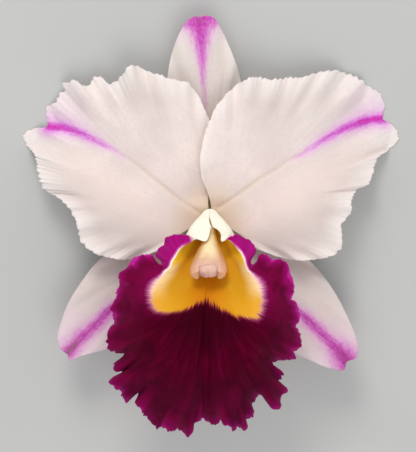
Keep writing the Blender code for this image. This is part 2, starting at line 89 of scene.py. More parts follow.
# Margins as seen from SIGHT in front of the flower, from the lower edge of the claw to the upper one
PETAL_RIGHT_MARGIN = [
    (19, -14.2), (29.4, -17.7), (36.3, -18.5), (43.5, -18.1), (49.6, -16.5),
    (52.8, -13.3), (53, -7.3), (52.8, -4.8), (56.4, 0.4), (57.5, 7.2), (59.4, 10), (63.6, 12),
    (65.3, 16.1), (67.5, 22.6), (71.8, 25.8), (75.8, 31), (73.4, 35.5), (69.2, 37.3), (69.6, 44.4),
    (66.9, 49.2), (62.9, 52), (58.5, 55.2), (52.4, 57.3), (46.8, 57.7), (41.9, 56.4), (36.3, 55.2),
    (29.4, 54.4), (24.2, 54), (18.5, 55), (12.1, 53.2), (7.3, 48.8), (2.8, 43.5), (0, 37.5),
    (-2.8, 29.4), (-4, 21.4), (-3.2, 14.1),
]
PETAL_LEFT_MARGIN = [
    (-19, -14), (-31, -18.1), (-39.5, -17.7), (-46.4, -15.7), (-52, -10.5),
    (-53.6, -4.2), (-56.4, 2), (-62.1, 7.3), (-66.6, 9.7), (-68.9, 16.1), (-71, 24.6),
    (-73.6, 27.4), (-74.4, 31.6), (-71.4, 34.3), (-65.2, 35.2), (-65.5, 42.7), (-61.2, 46.2),
    (-60.6, 48.8), (-58.6, 50), (-59.3, 52.5), (-56.9, 52.6), (-54.9, 54), (-51.6, 52), (-48.2, 51.8),
    (-46.9, 55.2), (-43.3, 54.8), (-41.3, 52.6), (-38.3, 53.4), (-36.2, 55.4), (-33.9, 57.2), (-33.2, 59.2),
    (-29.7, 59.5), (-25.2, 57.3), (-18.1, 55.4), (-13.2, 54), (-9.1, 52.9), (-6.8, 50.6), (-4, 46),
    (-2, 41.5), (0.4, 36), (2.2, 28), (2.6, 20),
]
SEPAL_DORSAL_MARGIN = [
    (10, 24), (13.2, 40), (12.6, 52), (10.9, 59.3), (8.1, 66.5), (4.8, 73.8),
    (1.6, 78.8), (-1.4, 79.9), (-4, 79.3), (-5.8, 79.5), (-8.5, 78.2), (-12.1, 73), (-14.9, 66.1),
    (-16.7, 58.1), (-17.4, 48), (-16, 35), (-12.4, 23),
]
SEPAL_LEFT_MARGIN = [
    (-26, -9.6), (-36.5, -14), (-44.4, -18.5), (-51.2, -26.6), (-56.4, -34.7),
    (-59.7, -42.7), (-61.3, -50.8), (-60.1, -54.4), (-57.2, -56.8), (-56.6, -58.8), (-52.4, -57.3),
    (-44.4, -55.2), (-36, -52), (-27, -43.5),
]
SEPAL_RIGHT_MARGIN = [
    (25, -46), (32.7, -54.8), (40.3, -58.9), (48.4, -62.1),
    (54, -62.5), (55, -59.6), (58.5, -58.1), (59.7, -55), (58.5, -49.2), (55.6, -41.9),
    (52, -34.7), (46.8, -26.6), (39.5, -18.5), (27, -11.2),
]

# Midribs of the blades as seen from SIGHT, from the claw to the tip
PETAL_RIGHT_RIB = [
    (3.2, 2.4), (8.1, 5.6), (14.1, 9.7), (20.2, 14.1), (26.2, 17.7), (32.3, 21.8), (37.1, 24.2),
    (44.4, 29), (49.2, 31.9), (54.4, 34.7), (59.7, 36.7), (64.5, 37.9), (70, 38.2),
]
PETAL_LEFT_RIB = [
    (-4, 0.4), (-12.1, 5.6), (-16.1, 8.9), (-24.2, 15.3), (-30.2, 20.2), (-36.3, 24.2),
    (-42.3, 27.8), (-46.4, 29.8), (-50.4, 31.9), (-54.4, 33.5), (-58.5, 34.7), (-65, 35),
]
SEPAL_DORSAL_RIB = [
    (0, 2), (-1.2, 20), (-2, 46), (-2.8, 54), (-3.2, 62.1), (-3.6, 70.2), (-4, 79),
]
SEPAL_LEFT_RIB = [
    (-4, -6), (-22, -22), (-34, -33.5), (-41.1, -39.5), (-44.4, -43.1), (-48.4, -46.8),
    (-52.4, -50.4), (-57.5, -56),
]
SEPAL_RIGHT_RIB = [
    (4, -7), (20, -25), (30, -34), (36.3, -39.9), (40.3, -43.5), (44.4, -47.6),
    (48.4, -51.6), (52, -55.2), (55.5, -60),
]

# Fine pleats: the margin points they run between, their spacing and height and where on the vein they start
PETAL_RIGHT_PLEATS = [
    (1, 6, 2.6, 0.18, 0.78), (8, 17, 1.8, 0.34, 0.8), (18, 24, 3, 0.18, 0.86), (23, 31, 2, 0.24, 0.9),
    (5, 9, 3, 0.14, 0.84), (30, 35, 3, 0.12, 0.9),
]
PETAL_LEFT_PLEATS = [
    (1, 4, 2.6, 0.26, 0.8), (4, 8, 2.6, 0.24, 0.84), (7, 13, 1.7, 0.52, 0.76), (15, 24, 3.4, 0.22, 0.82),
    (23, 34, 3, 0.24, 0.84), (34, 41, 3.4, 0.1, 0.9),
]

# Magenta on the dorsal sepal: the place along its midrib and half the width of the colour
DORSAL_FLAME = [
    (0, 0.5), (0.5, 0.6), (0.6, 0.9), (0.67, 1.2), (0.77, 1.6), (0.84, 2.1), (0.9, 2.6), (0.94, 3.6),
    (0.965, 7), (1, 11),
]

# Magenta on the petals: the places along the midrib where it starts and where it is full
PETAL_RIGHT_FLAME = (0.38, 0.92)
PETAL_LEFT_FLAME = (0.46, 0.98)

# Folds: both ends, the height at each, and how wide the fold is
PETAL_RIGHT_FOLDS = [
    ((33, -1), (50, -15.5), 0.6, 3.2, 4.2), ((44, 11), (55.5, 7), 0.2, 2.4, 4),
    ((14, 40), (17, 54), 0.2, 1.4, 4), ((36, 38), (45, 57), 0.3, 1.6, 5),
    ((42, -2), (52.5, -6), -0.3, -2.6, 3.2), ((52, 18), (64, 14), -0.2, -1.4, 3.5),
]
PETAL_LEFT_FOLDS = [
    ((-33, 38), (-33, 58), 0.3, 2.4, 3.6), ((-46, 38), (-52, 53), 0.3, 1.8, 3.2),
    ((-40, 40), (-42.5, 53.5), -0.2, -1.8, 2.6), ((-40, 4), (-59, 2.5), 0.3, 2.3, 4.2),
    ((-28, -4), (-38, -17), 0.2, 1.4, 4.5), ((-50, 23), (-69, 25), 0.2, 1.3, 4),
    ((-48, 12), (-65, 11.5), -0.2, -1.4, 3.2),
]

# Margin of the lip, from the top seam of its tube down the left side, round the front lobe and back
LIP_MARGIN = [
    (0.3, -5.1), (-1.6, -10.7), (-6, -9.7), (-10.5, -8.7), (-15.3, -8.5), (-17.9, -10.3),
    (-18.2, -12), (-20.8, -14.1), (-21.8, -17.1), (-19.4, -19.4), (-20.2, -20.8), (-22.4, -19.4),
    (-24, -16.5), (-26, -16.6), (-28.6, -16.9), (-31.5, -18.3), (-33.5, -21.4), (-36.3, -25),
    (-36.5, -28.2), (-38, -31.4), (-37.6, -33.1), (-40.1, -38.3), (-38.4, -41.5), (-40.3, -46),
    (-41.9, -50.8), (-40.2, -54), (-35.1, -56.3), (-38.7, -59.4), (-38, -61.8), (-34.8, -63.8),
    (-38.8, -65.8), (-39.2, -67.9), (-36.9, -70.4), (-35.7, -75), (-33, -75.3), (-29.3, -72.6),
    (-29.4, -76.6), (-26.8, -80.2), (-24.5, -83.2), (-21.2, -86.6), (-18.8, -84.6), (-16.5, -86.9),
    (-12.9, -86.3), (-8.6, -89.5), (-6.6, -86.8), (-5.2, -83.2), (-3, -82.5), (0.8, -84.9),
    (4.4, -83.1), (7.6, -85), (9.9, -88.4), (12, -86.4), (14.4, -86.9), (14.9, -83.5),
    (17.4, -81.8), (17.2, -79), (17.6, -75.6), (21.1, -73.2), (24.3, -76), (26.9, -78.5),
    (28.8, -76.4), (29.2, -73.2), (30.9, -70.2), (28.6, -67.2), (29, -64.5), (26.3, -61.8),
    (26.6, -59.8), (30, -57.9), (33.8, -57.7), (32.9, -54.7), (36.3, -53.7), (36.2, -51),
    (36.7, -48.4), (34.8, -45), (36.3, -41.6), (35.1, -35.8), (32.6, -34.2), (33.9, -31),
    (33.1, -25.8), (30.6, -19.8), (27.5, -18.1), (25.2, -18.5), (22.2, -16.6), (19.9, -17),
    (18.9, -18.8), (17.3, -20.2), (16, -18.4), (18.3, -14.5), (17, -11.7), (14.1, -10.1),
    (10.5, -8.6), (7.3, -10), (4.6, -10.9), (4.8, -7.3), (1.2, -5.1),
]

# Stations of the lip: the margin point faced, the angle round the tube from the seam, the crest that
# stands furthest out of the face, and the height of the margin
LIP_STATIONS = [
    (0, 2.2, (-0.1, -4.2, 13.2), 15),
    (1, 30, (-1.6, -9.4, 16.4), 17.8),
    (2, 50, (-5.6, -11.4, 18.5), 18.6),
    (3, 68, (-10.1, -12.9, 20.2), 17.6),
    (5, 88, (-13.3, -16.1, 22.6), 15.8),
    (8, 104, (-15.7, -19.8, 25), 17.8),
    (10, 114, (-17.6, -22.2, 27), 23),
    (15, 124, (-20, -26.5, 29.5), 20),
    (20, 136, (-21.5, -34, 32), 18),
    (25, 148, (-20.5, -44, 33.5), 17.5),
    (31, 158, (-17, -52, 34), 17),
    (37, 167, (-11.5, -57.5, 34), 16.5),
    (43, 175, (-5, -60, 33.3), 16),
    (46, 180, (-1.6, -60, 32), 18),
    (50, 186, (3.5, -59, 33.3), 16),
    (57, 194, (9.5, -56, 34), 18),
    (64, 203, (14.5, -51, 34), 18),
    (70, 213, (18, -43.5, 33.5), 17.5),
    (76, 224, (19.3, -34.5, 32), 19),
    (80, 236, (18.8, -27.5, 29.8), 20),
    (85, 246, (16.5, -22.6, 27), 23),
    (87, 256, (14.5, -18.8, 24.4), 18),
    (89, 275, (11.2, -14.4, 21), 16),
    (91, 300, (7.4, -11.6, 18.7), 19.4),
    (92, 325, (5, -9.4, 16.7), 18.2),
    (93, 341, (4.2, -6.4, 14.3), 16.4),
    (94, 357.8, (0.9, -4.3, 13.3), 15),
]

# The tube of the lip and the column in it lean out of the face along one axis
AXIS_START = (0, -2.2, KNOB_FRONT + SEAT_GAP)
AXIS_ANGLE = math.radians(43.8)
TUBE_BASE_RADIUS = 3.9
TUBE_BASE_PINCH = 0.15
TUBE_BASE_LIFT = 0.3
TUBE_TOP = (6, 5.6)
TUBE_FLOOR = (27, 8.5)
TUBE_HALF_WIDTH = 11.0

# Column: distance along the axis, half its width and half its depth
COLUMN_SECTIONS = [
    (0, 2.3, 2.3), (6, 2.3, 2.4), (12, 3.2, 2.7), (18.5, 5.2, 3.1), (23.5, 6.7, 3.2),
    (27, 7.2, 3.1), (29.3, 6.7, 2.8),
]
COLUMN_LEAN = -0.7
COLUMN_TOOTH = 0.6
COLUMN_NOTCH = 1.7
COLUMN_WALL = 3.6

# Anther cap: half its width, half its depth, its length and how far it sits above the column's middle
CAP_RADII = (3.8, 2.9, 3)
CAP_RISE = 0.8
CAP_SEAT = -0.2

# Edge of the yellow in the throat, as seen from SIGHT, from the seam down the left side and back up the right
YELLOW_EDGE = [
    (-4, -10.9), (-8.1, -12.1), (-11.3, -14.1), (-13.7, -16.5), (-15.3, -19.4), (-17.7, -21.8),
    (-21, -24.6), (-23.6, -27.8), (-24.9, -31.4), (-24.9, -34.7), (-23.6, -38), (-21, -40.2),
    (-15.3, -40.2), (-11.3, -39.6), (-7.3, -38.1), (-4, -36.5), (-1.6, -34.9), (1.2, -36.9),
    (4, -38.9), (8.1, -40.7), (11.3, -42.2), (14.1, -41.9), (18, -43.2), (19.9, -42.2),
    (21.4, -39.2), (22.2, -35.5), (22.2, -31.9), (21.2, -27.8), (18.5, -24.2), (16.1, -21.8),
    (14.5, -19), (13.3, -16.1), (10.9, -13.7), (7.3, -12.1), (4, -10.9),
]

# Relief of a petal: its height at the claw, how high its upper and lower halves rise and over what distance,
# how far its tip bends back and over what length
PETAL_HEIGHT = -1.0
PETAL_RISES = (6.5, 5)
PETAL_RISE_WIDTH = 15.0
PETAL_BEND = 17.6
PETAL_LENGTH = 82.0

# How far the inner edges of the petals part where the right one passes in front of the left one
FRONT_LIFT = 1.6
BACK_LIFT = -2.2

# Relief of a sepal: its height at the claw, how far its sides roll back over half its width, and its length
SEPAL_HEIGHT = -5.0
SEPAL_ROLL = 1.6
SEPAL_HALF_WIDTH = 14.0
SEPAL_LENGTH = 80.0

# Waves round the margins: their height, then the length, the share of the height and the phase of each
PETAL_RUFFLE = 1.4
PETAL_WAVES = [(11.5, 1, 0), (21, 0.6, 1.3)]
SEPAL_RUFFLE = 0.8
SEPAL_WAVES = [(17, 1, 0)]
LIP_RUFFLE = 1.6
LIP_WAVES = [(12, 1, 0), (19, 0.5, 0)]

# Regions of the lip by the angle round its tube: where each starts and is full on the left and on the right
LIP_REGIONS = {
    "hood": (61, 49, 302, 314), "flap": (116, 100, 244, 260),
    "side": (155, 124, 205, 232), "crisp": (130, 118, 232, 244),
}

# Relief of the lip: how its rows crowd at the margin, where its middle line is, its thickness in the tube and
# at the margin, and the heights of its folds, its groove, its scallops and its teeth
LIP_CROWDING = 1.35
LIP_MIDDLE = -1.6
LIP_THICKNESS = (1, 0.4)
LIP_FOLD = 1.2
LIP_GROOVE = 1.1
LIP_SCALLOP = 0.8
LIP_TOOTH = 1.1

# Points round the column, the cap and the stalk, and rings along them
COLUMN_GRID = (96, 72)
CAP_GRID = (64, 40)
STALK_GRID = (72, 220)

# Ends of the column and the stalk: how far in each ring of the column's end lies and how high its teeth still
# are there, how wide each ring of the stalk's end is, and how deep that end is hollowed
COLUMN_WELL = [(0.05, 1.02), (0.3, 1.04), (0.75, 0.98), (0.95, 0.7), (1, 0)]
STALK_CUT = [0.97, 0.9, 0.6, 0.3]
STALK_HOLLOW = 0.25

# Ways across the flower, along the tube's axis and up from that axis
ACROSS = np.array([1, 0, 0])
AXIS_ALONG = np.array([0, -math.cos(AXIS_ANGLE), math.sin(AXIS_ANGLE)])
AXIS_UP = np.array([0, math.sin(AXIS_ANGLE), math.cos(AXIS_ANGLE)])

# The map of a piece: its span from side to side, and the heights of the front, the back, the two rows of the
# edge, and the side and the end discs of a tube
MAP_SPAN = (0.005, 0.995)
MAP_FRONT = (0.005, 0.475)
MAP_BACK = (0.525, 0.995)
MAP_EDGES = [(0.485, 0.497), (0.497, 0.509)]
MAP_SIDE = (0.005, 0.78)
MAP_DISCS = [(0.12, 0.89), (0.36, 0.89)]
MAP_DISC_RADIUS = 0.09

# The floor, the light of the sky and the point that the lamps look at, in metres
FLOOR_HALF = 2.0
FLOOR_DROP = 0.0001
SKY_COLOUR = (0.93, 0.96, 1, 1)
SKY_STRENGTH = 0.66
LIT_POINT = (0, 0, 0.02)


def table(y):
    """Height of the table in the flower's frame."""
    return (y * math.sin(TILT) - REST_HEIGHT) / math.cos(TILT)


def laid_down(points):
    """Points of the flower's frame, in millimetres, as they lie on the table, in metres."""
    x, y, z = points[..., 0], points[..., 1], points[..., 2]
    cos, sin = math.cos(TILT), math.sin(TILT)
    high = np.maximum(z * cos - y * sin + REST_HEIGHT, 0)
    return np.stack([x + SHIFT[0], y * cos + z * sin + SHIFT[1], high], axis=-1) * MM


def seen(x, y, z):
    """The point at depth z that shows at x, y from SIGHT in front of the flower."""
    near = 1.0 - z / SIGHT
    return np.stack([x * near, y * near, z], axis=-1)


def shown_at(points):
    """Where points show from SIGHT in front of the flower."""
    near = 1.0 - points[..., 2] / SIGHT
    return points[..., 0] / near, points[..., 1] / near


def ease(low, high, value):
    """Rises softly from 0 at low to 1 at high."""
    u = np.clip((value - low) / (high - low), 0, 1)
    return u * u * (3.0 - 2.0 * u)


def bell(off, width, power=2):
    """1 in the middle, fading to both sides."""
    return np.exp(-(np.abs(off / width) ** power))


def off_ends(along, low, high):
    """0 near both ends of a line, 1 further in."""
    return ease(low, high, along) * ease(low, high, along[-1] - along)


def ripple(along, waves):
    """Waves added up, each with its length, its height and its phase."""
    return sum(high * np.sin(2 * math.pi * along / spacing + phase) for spacing, high, phase in waves)


def rows_of(row, count):
    """A grid of the same row again and again; columns_of does so with a column."""
    return np.repeat(row[None, :], count, 0)


def columns_of(column, count):
    return np.repeat(column[:, None], count, 1)


def unit(vectors):
    return vectors / np.maximum(np.linalg.norm(vectors, axis=-1, keepdims=True), 1e-9)


def through(knots, values, where):
    """Smooth curve through the values at the knots, read at the given places."""
    knots, values, where = (np.asarray(part, float) for part in (knots, values, where))
    shape = [-1] + [1] * (values.ndim - 1)
    step = np.diff(knots).reshape(shape)
    slope = np.diff(values, axis=0) / step
    inner = (slope[:-1] * step[1:] + slope[1:] * step[:-1]) / (step[1:] + step[:-1])
    tangent = np.concatenate([slope[:1], inner, slope[-1:]])
    i = np.clip(np.searchsorted(knots, where, side="right") - 1, 0, len(step) - 1)
    h = step[i]
    u = (where - knots[i]).reshape(shape) / h
    return (
        values[i] * (1 + 2 * u) * (1 - u) ** 2
        + values[i + 1] * u * u * (3 - 2 * u)
        + tangent[i] * h * u * (1 - u) ** 2
        + tangent[i + 1] * h * u * u * (u - 1)
    )


def lengths(points):
    """Distance of each point along the line through all of them."""
    steps = np.linalg.norm(np.diff(np.asarray(points, float), axis=0), axis=1)
    return np.concatenate([[0], np.cumsum(steps)])


def evenly(points, count):
    """Points at even distances along the smooth curve through a few points, and the knots' distances."""
    knots = lengths(points)
    fine = through(knots, points, np.linspace(0, knots[-1], 40 * len(points)))
    along = lengths(fine)
    places = np.linspace(0, along[-1], count)
    found = np.stack([np.interp(places, along, part) for part in fine.T], axis=-1)
    return found, np.interp(knots, np.linspace(0, knots[-1], len(fine)), along) / along[-1]


def averaged(values, reach):
    """Each value, or each row of values, averaged with a few to either side."""
    hill = np.hanning(2 * reach + 3)[1:-1]
    hill = hill / hill.sum()
    parts = [np.convolve(np.pad(part, reach, "edge"), hill, "valid") for part in np.atleast_2d(values.T)]
    return np.stack(parts, axis=-1).reshape(values.shape)


def wander(where, spacing, seed):
    """Smooth random values between -1 and 1 with a turn about every spacing."""
    count = int(where.max() / spacing) + 3
    values = np.random.default_rng(seed).uniform(-1, 1, count)
    return through(np.arange(count) * spacing, values, where.ravel()).reshape(where.shape)


def rib_place(x, y, rib):
    """Distance from a midrib, positive to the left of its way out, and the place along it from 0 to 1."""
    line, _ = evenly(rib, 160)
    way = unit(np.gradient(line, axis=0))
    near = np.argmin((x.ravel()[:, None] - line[:, 0]) ** 2 + (y.ravel()[:, None] - line[:, 1]) ** 2, axis=1)
    off_x, off_y = x.ravel() - line[near, 0], y.ravel() - line[near, 1]
    side = way[near, 0] * off_y - way[near, 1] * off_x
    past_ends = (near == 0) | (near == len(line) - 1)
    off = np.where(past_ends, np.hypot(off_x, off_y) * np.sign(side), side)
    return off.reshape(x.shape), (near / (len(line) - 1)).reshape(x.shape)


def fold_height(x, y, folds):
    """Height of all the folds of a blade at x, y."""
    height = np.zeros(x.shape)
    for (x0, y0), (x1, y1), low, high, width in folds:
        length = math.hypot(x1 - x0, y1 - y0)
        way_x, way_y = (x1 - x0) / length, (y1 - y0) / length
        rise = ease(-0.25, 1, ((x - x0) * way_x + (y - y0) * way_y) / length)
        off = (x - x0) * way_y - (y - y0) * way_x
        height += (low + (high - low) * rise) * rise * bell(off, width)
    return height


def pleat_height(pleats, knots, s, vein):
    """Height of the fine pleats, which run along the veins and grow towards the margin."""
    height = np.zeros(s.shape)
    for first, last, spacing, high, start in pleats:
        low_end, high_end = knots[first], knots[last]
        fade = (high_end - low_end) * 0.2
        there = ease(low_end - fade, low_end + fade, vein)
        there = there * ease(high_end + fade, high_end - fade, vein)
        turn = math.pi * (vein / spacing + 0.45 * wander(vein, 2.2 * spacing, first + 7))
        uneven = 1.0 + 0.5 * wander(vein, 3.0 * spacing, first + 31)
        sharp = np.abs(np.sin(turn)) * 2 - 1.27
        begin = start + 0.1 * wander(vein, 2.0 * spacing, first + 53)
        height += high * uneven * there * ease(begin, 1, s) ** 1.3 * sharp
    return height


def fan(margin, form, axis_deg, turn=1, pleats=()):
    """Flat fan of veins with all that is known of each point of it."""
    rows, columns, claw_deg, frill = form
    rim, knots = evenly(margin, columns + 1)
    calm = averaged(rim, columns // CALM_SHARE)
    claw = np.radians(np.linspace(axis_deg - turn * claw_deg, axis_deg + turn * claw_deg, columns + 1))
    reach = KNOB_RADIUS + SEAT_GAP
    base = np.stack([reach * np.cos(claw), KNOB_Y + reach * np.sin(claw)], axis=-1)
    axis = np.array([math.cos(math.radians(axis_deg)), math.sin(math.radians(axis_deg))])
    across = turn * np.array([-axis[1], axis[0]])
    out = calm - base
    bow = base + 0.55 * np.outer(out @ axis, axis) + 0.36 * np.outer(out @ across, across)
    length = lengths(rim)
    knots = knots * length[-1]
    teeth = frill * (wander(length, 1.3, 5) + 0.6 * wander(length, 0.6, 6))
    teeth = teeth + pleat_height(pleats, knots, np.ones(len(length)), length)
    rim = rim + unit(rim - bow) * (teeth * off_ends(length, 0, 12))[:, None]
    s = np.linspace(0, 1, rows + 1)[:, None, None]
    flat = (1 - s) ** 2 * base + 2 * s * (1 - s) * bow + s * s * rim
    s = columns_of(s.ravel(), columns + 1)
    known = s, lengths(calm)[None, :], rows_of(length, rows + 1), flat @ axis, flat @ across, knots
    return flat[..., 0], flat[..., 1], *known


def facing(points):
    """The way each point of a grid faces."""
    return unit(np.cross(unit(np.gradient(points, axis=1)), unit(np.gradient(points, axis=0))))


def steadied(normal):
    """Directions evened out with those beside them, so that the cells of a crowded grid don't turn over."""
    for _ in range(NORMAL_ROUNDS):
        normal[:, 1:-1] = unit(normal[:, :-2] + 2.0 * normal[:, 1:-1] + normal[:, 2:])
        normal[1:-1] = unit(normal[:-2] + 2.0 * normal[1:-1] + normal[2:])
    return normal


def put(name, data):
    """A new object in the scene."""
    made = bpy.data.objects.new(name, data)
    bpy.context.scene.collection.objects.link(made)
    return made


def cells(index):
    """The four corners of each cell of a grid."""
    return np.stack([index[:-1, :-1], index[:-1, 1:], index[1:, 1:], index[1:, :-1]], axis=-1).reshape(-1, 4)


def cell_map(rows, columns, heights, order=(0, 1, 2, 3)):
    """Places of the cells' corners on the map, between two heights."""
    u, v = np.meshgrid(np.linspace(*MAP_SPAN, columns), np.linspace(*heights, rows))
    corners = cells(np.arange(rows * columns).reshape(rows, columns))[:, order]
    return np.stack([u, v], axis=-1).reshape(-1, 2)[corners].reshape(-1, 2)


def mesh_of(name, points, faces, corner_map, marks, finish):
    """A smooth mesh piece on the table, with its marks as point attributes and a map of its own."""
    mesh = bpy.data.meshes.new(name)
    mesh.from_pydata(laid_down(points).tolist(), [], faces)
    layer = mesh.uv_layers.new(name="OFBake")
    layer.data.foreach_set("uv", np.concatenate(corner_map).astype(np.float32).ravel())
    for mark, values in marks.items():
        made = mesh.attributes.new(mark, "FLOAT", "POINT")
        made.data.foreach_set("value", np.asarray(values, np.float32).ravel())
    mesh.materials.append(finish)
    mesh.shade_smooth()
    return put(name, mesh)


def tissue(name, points, thickness, marks, finish):
    """A closed thin body round a grid of points, rounded at its edge. Mark 'back' is 1 on its far side."""
    rows, columns = points.shape[:2]
    if facing(points)[-rows // 4, columns // 2, 2] < 0:
        points, thickness = points[:, ::-1], thickness[:, ::-1]
        marks = {key: value[:, ::-1] for key, value in marks.items()}
    down, across = np.gradient(points, axis=0), np.gradient(points, axis=1)
    normal = steadied(facing(points))
    half = 0.5 * thickness[..., None]
    outward = np.zeros(points.shape)
    outward[0] -= unit(down[0])
    outward[-1] += unit(down[-1])
    outward[:, 0] -= unit(across[:, 0])
    outward[:, -1] += unit(across[:, -1])
    count = rows * columns
    index = np.arange(count).reshape(rows, columns)
    loop = np.concatenate([index[0, :-1], index[:-1, -1], index[-1, :0:-1], index[:0:-1, 0]])
    middle = points.reshape(-1, 3)[loop] + unit(outward.reshape(-1, 3)[loop]) * half.reshape(-1, 1)[loop]
    front, back = points + normal * half, points - normal * half
    every = np.concatenate([front.reshape(-1, 3), back.reshape(-1, 3), middle])
    quads = cells(index)
    here = 2 * count + np.arange(len(loop))
    after, next_on = np.roll(here, -1), np.roll(loop, -1)
    near_rim = np.stack([next_on, loop, here, after], axis=-1)
    far_rim = np.stack([after, here, count + loop, count + next_on], axis=-1)
    faces = np.concatenate([quads, count + quads[:, ::-1], near_rim, far_rim]).tolist()
    maps = [cell_map(rows, columns, MAP_FRONT), cell_map(rows, columns, MAP_BACK, (3, 2, 1, 0))]
    maps += [cell_map(2, len(loop) + 1, heights, (1, 0, 3, 2)) for heights in MAP_EDGES]
    spread = {key: value.ravel()[np.r_[:count, :count, loop]] for key, value in marks.items()}
    spread["back"] = np.repeat([0, 1, 0.5], [count, count, len(loop)])
    return mesh_of(name, every, faces, maps, spread, finish)


def blade(name, x, y, z, s, finish, **marks):
    """Tissue of a petal or a sepal, seen at x, y: thinner towards its margin and kept above the table."""
    thickness = CLAW_THICKNESS + (MARGIN_THICKNESS - CLAW_THICKNESS) * ease(0, 0.75, s)
    points = seen(x, y, z)
    lowest = table(points[..., 1]) + 0.5 * thickness / math.cos(TILT)
    points[..., 2] = np.maximum(points[..., 2], lowest)
    marks.update(s=s, reach=np.hypot(x, y - KNOB_Y))
    return tissue(name, points, thickness, marks, finish)


def petal(name, margin, rib, axis_deg, turn, lift, pleats, folds, flame_span, finish):
    """A broad petal: a valley along the midrib, raised halves, a ruffled margin and a tip bent back."""
    x, y, s, along, vein, a, b, knots = fan(margin, PETAL_FAN, axis_deg, turn, pleats)
    raised = np.where(b > 0, *PETAL_RISES) * (1 - bell(b, PETAL_RISE_WIDTH))
    z = PETAL_HEIGHT + raised * ease(2, 22, np.hypot(a, b))
    z = z - PETAL_BEND * np.clip(a / PETAL_LENGTH, 0, None) ** 3
    inner = ease(14, 2, np.abs(x + 0.5)) * ease(2.5, 8, y)
    calmer = 1 - 0.8 * inner
    z = z + lift * inner
    z = z + PETAL_RUFFLE * ease(0.6, 1, s) ** 1.7 * ripple(along, PETAL_WAVES) * calmer
    off, way = rib_place(x, y, rib)
    below = -off * turn
    groove = -0.5 * bell(off, 1.1) * ease(1, 0.3, way)
    lap = 0.9 * np.tanh(below / 1.2) * ease(0.8, 1, way) * bell(off, 9)
    z = z + groove + lap + fold_height(x, y, folds) * calmer
    z = z + pleat_height(pleats, knots, s, vein) * (1 - 0.6 * inner)
    z = z + 0.12 * ease(0.3, 0.8, s) * wander(vein, 9, 11) * ease(1, 0.85, s)
    strength = np.interp(way, flame_span, (0, 1))
    width = 1.3 + 0.1 * strength
    # Painted shade: the blade is painted darker away from its midrib and from the middle of the bloom
    outer = ease(8, 28, np.abs(off)) * ease(8, 26, np.abs(x))
    to_tip = np.hypot(x - rib[-1][0], y - rib[-1][1])
    return blade(
        name, x, y, z, s, finish, vein=vein, rib=off, way=way,
        magenta=strength * (0.5 * bell(off, width) + 0.46 * bell(off, 2.9 * width, 1.4)),
        blush=0.5 * bell(to_tip, 13) * (1 - ease(0, 6, below)),
        # The lower half gets a pink tint and painted shade
        warm=ease(-2, 16, below) * ease(0.95, 0.65, s),
        outer=outer * ease(1.1, 0.8, s),
    )


def sepal(name, margin, rib, axis_deg, tip_rise, flame_of, finish):
    """A narrow sepal behind the petals: its sides roll back and its tip lifts."""
    x, y, s, along, vein, a, b, _ = fan(margin, SEPAL_FAN, axis_deg)
    z = SEPAL_HEIGHT + tip_rise * np.clip(a / SEPAL_LENGTH, 0, None) ** 3
    z = z - SEPAL_ROLL * (b / SEPAL_HALF_WIDTH) ** 2
    z = z + SEPAL_RUFFLE * ease(0.7, 1, s) * ripple(along, SEPAL_WAVES)
    off, way = rib_place(x, y, rib)
    z = z - 0.45 * bell(off, 1.2) * ease(1, 0.6, way)
    z = z + 0.12 * wander(vein, 3, 17) * ease(0.3, 0.7, s) * ease(1, 0.85, s)
    flame, blush, keel = flame_of(off, way)
    return blade(name, x, y, z, s, finish, vein=vein, rib=off, way=way, magenta=flame, blush=blush, keel=keel)


def dorsal_flame(off, way):
    """Magenta over the whole tip, drawn out along the midrib to a thin line."""
    width = np.interp(way, *zip(*DORSAL_FLAME))
    strength = 0.35 * ease(0.42, 0.6, way) + 0.65 * ease(0.62, 0.97, way)
    keel = 0.5 * bell(off, 0.8) * ease(0.965, 0.99, way)
    flame = strength * (0.56 * bell(off, width, 1.8) + 0.3 * bell(off, 1.7 * width + 1.2, 1.4))
    return flame, 0.4 * ease(0.84, 0.98, way), keel


def lateral_flame(off, way, tip, end):
    """A soft magenta stripe along the outer half of the midrib, a lilac tip and a tan keel under it."""
    stripe = 0.42 * bell(off, 0.9 + 1.2 * way) + 0.34 * bell(off, 2.4 + 3.0 * way, 1.6)
    patch = tip * ease(0.84, 0.98, way) * bell(off, 7)
    keel = end * bell(off, 0.75) * ease(0.89, 0.94, way)
    return ease(0.4, 0.7, way) * stripe + patch, 0.3 * ease(0.66, 1, way), keel


def tube_ring(angle, distance, half_width, half_depth):
    """Points round the tube's axis; the angle starts at the seam, on the side away from the floor."""
    centre = np.array(AXIS_START) + np.multiply.outer(distance, AXIS_ALONG)
    side = np.multiply.outer(-half_width * np.sin(angle), ACROSS)
    return centre + side + np.multiply.outer(half_depth * np.cos(angle), AXIS_UP)


def relaxed(points, rounds):
    """Evens out a grid of points; its outer edges stay where they are."""
    for _ in range(rounds):
        around = points[1:-1, :-2] + points[1:-1, 2:] + points[:-2, 1:-1] + points[2:, 1:-1]
        points[1:-1, 1:-1] = 0.4 * points[1:-1, 1:-1] + 0.15 * around
    return points


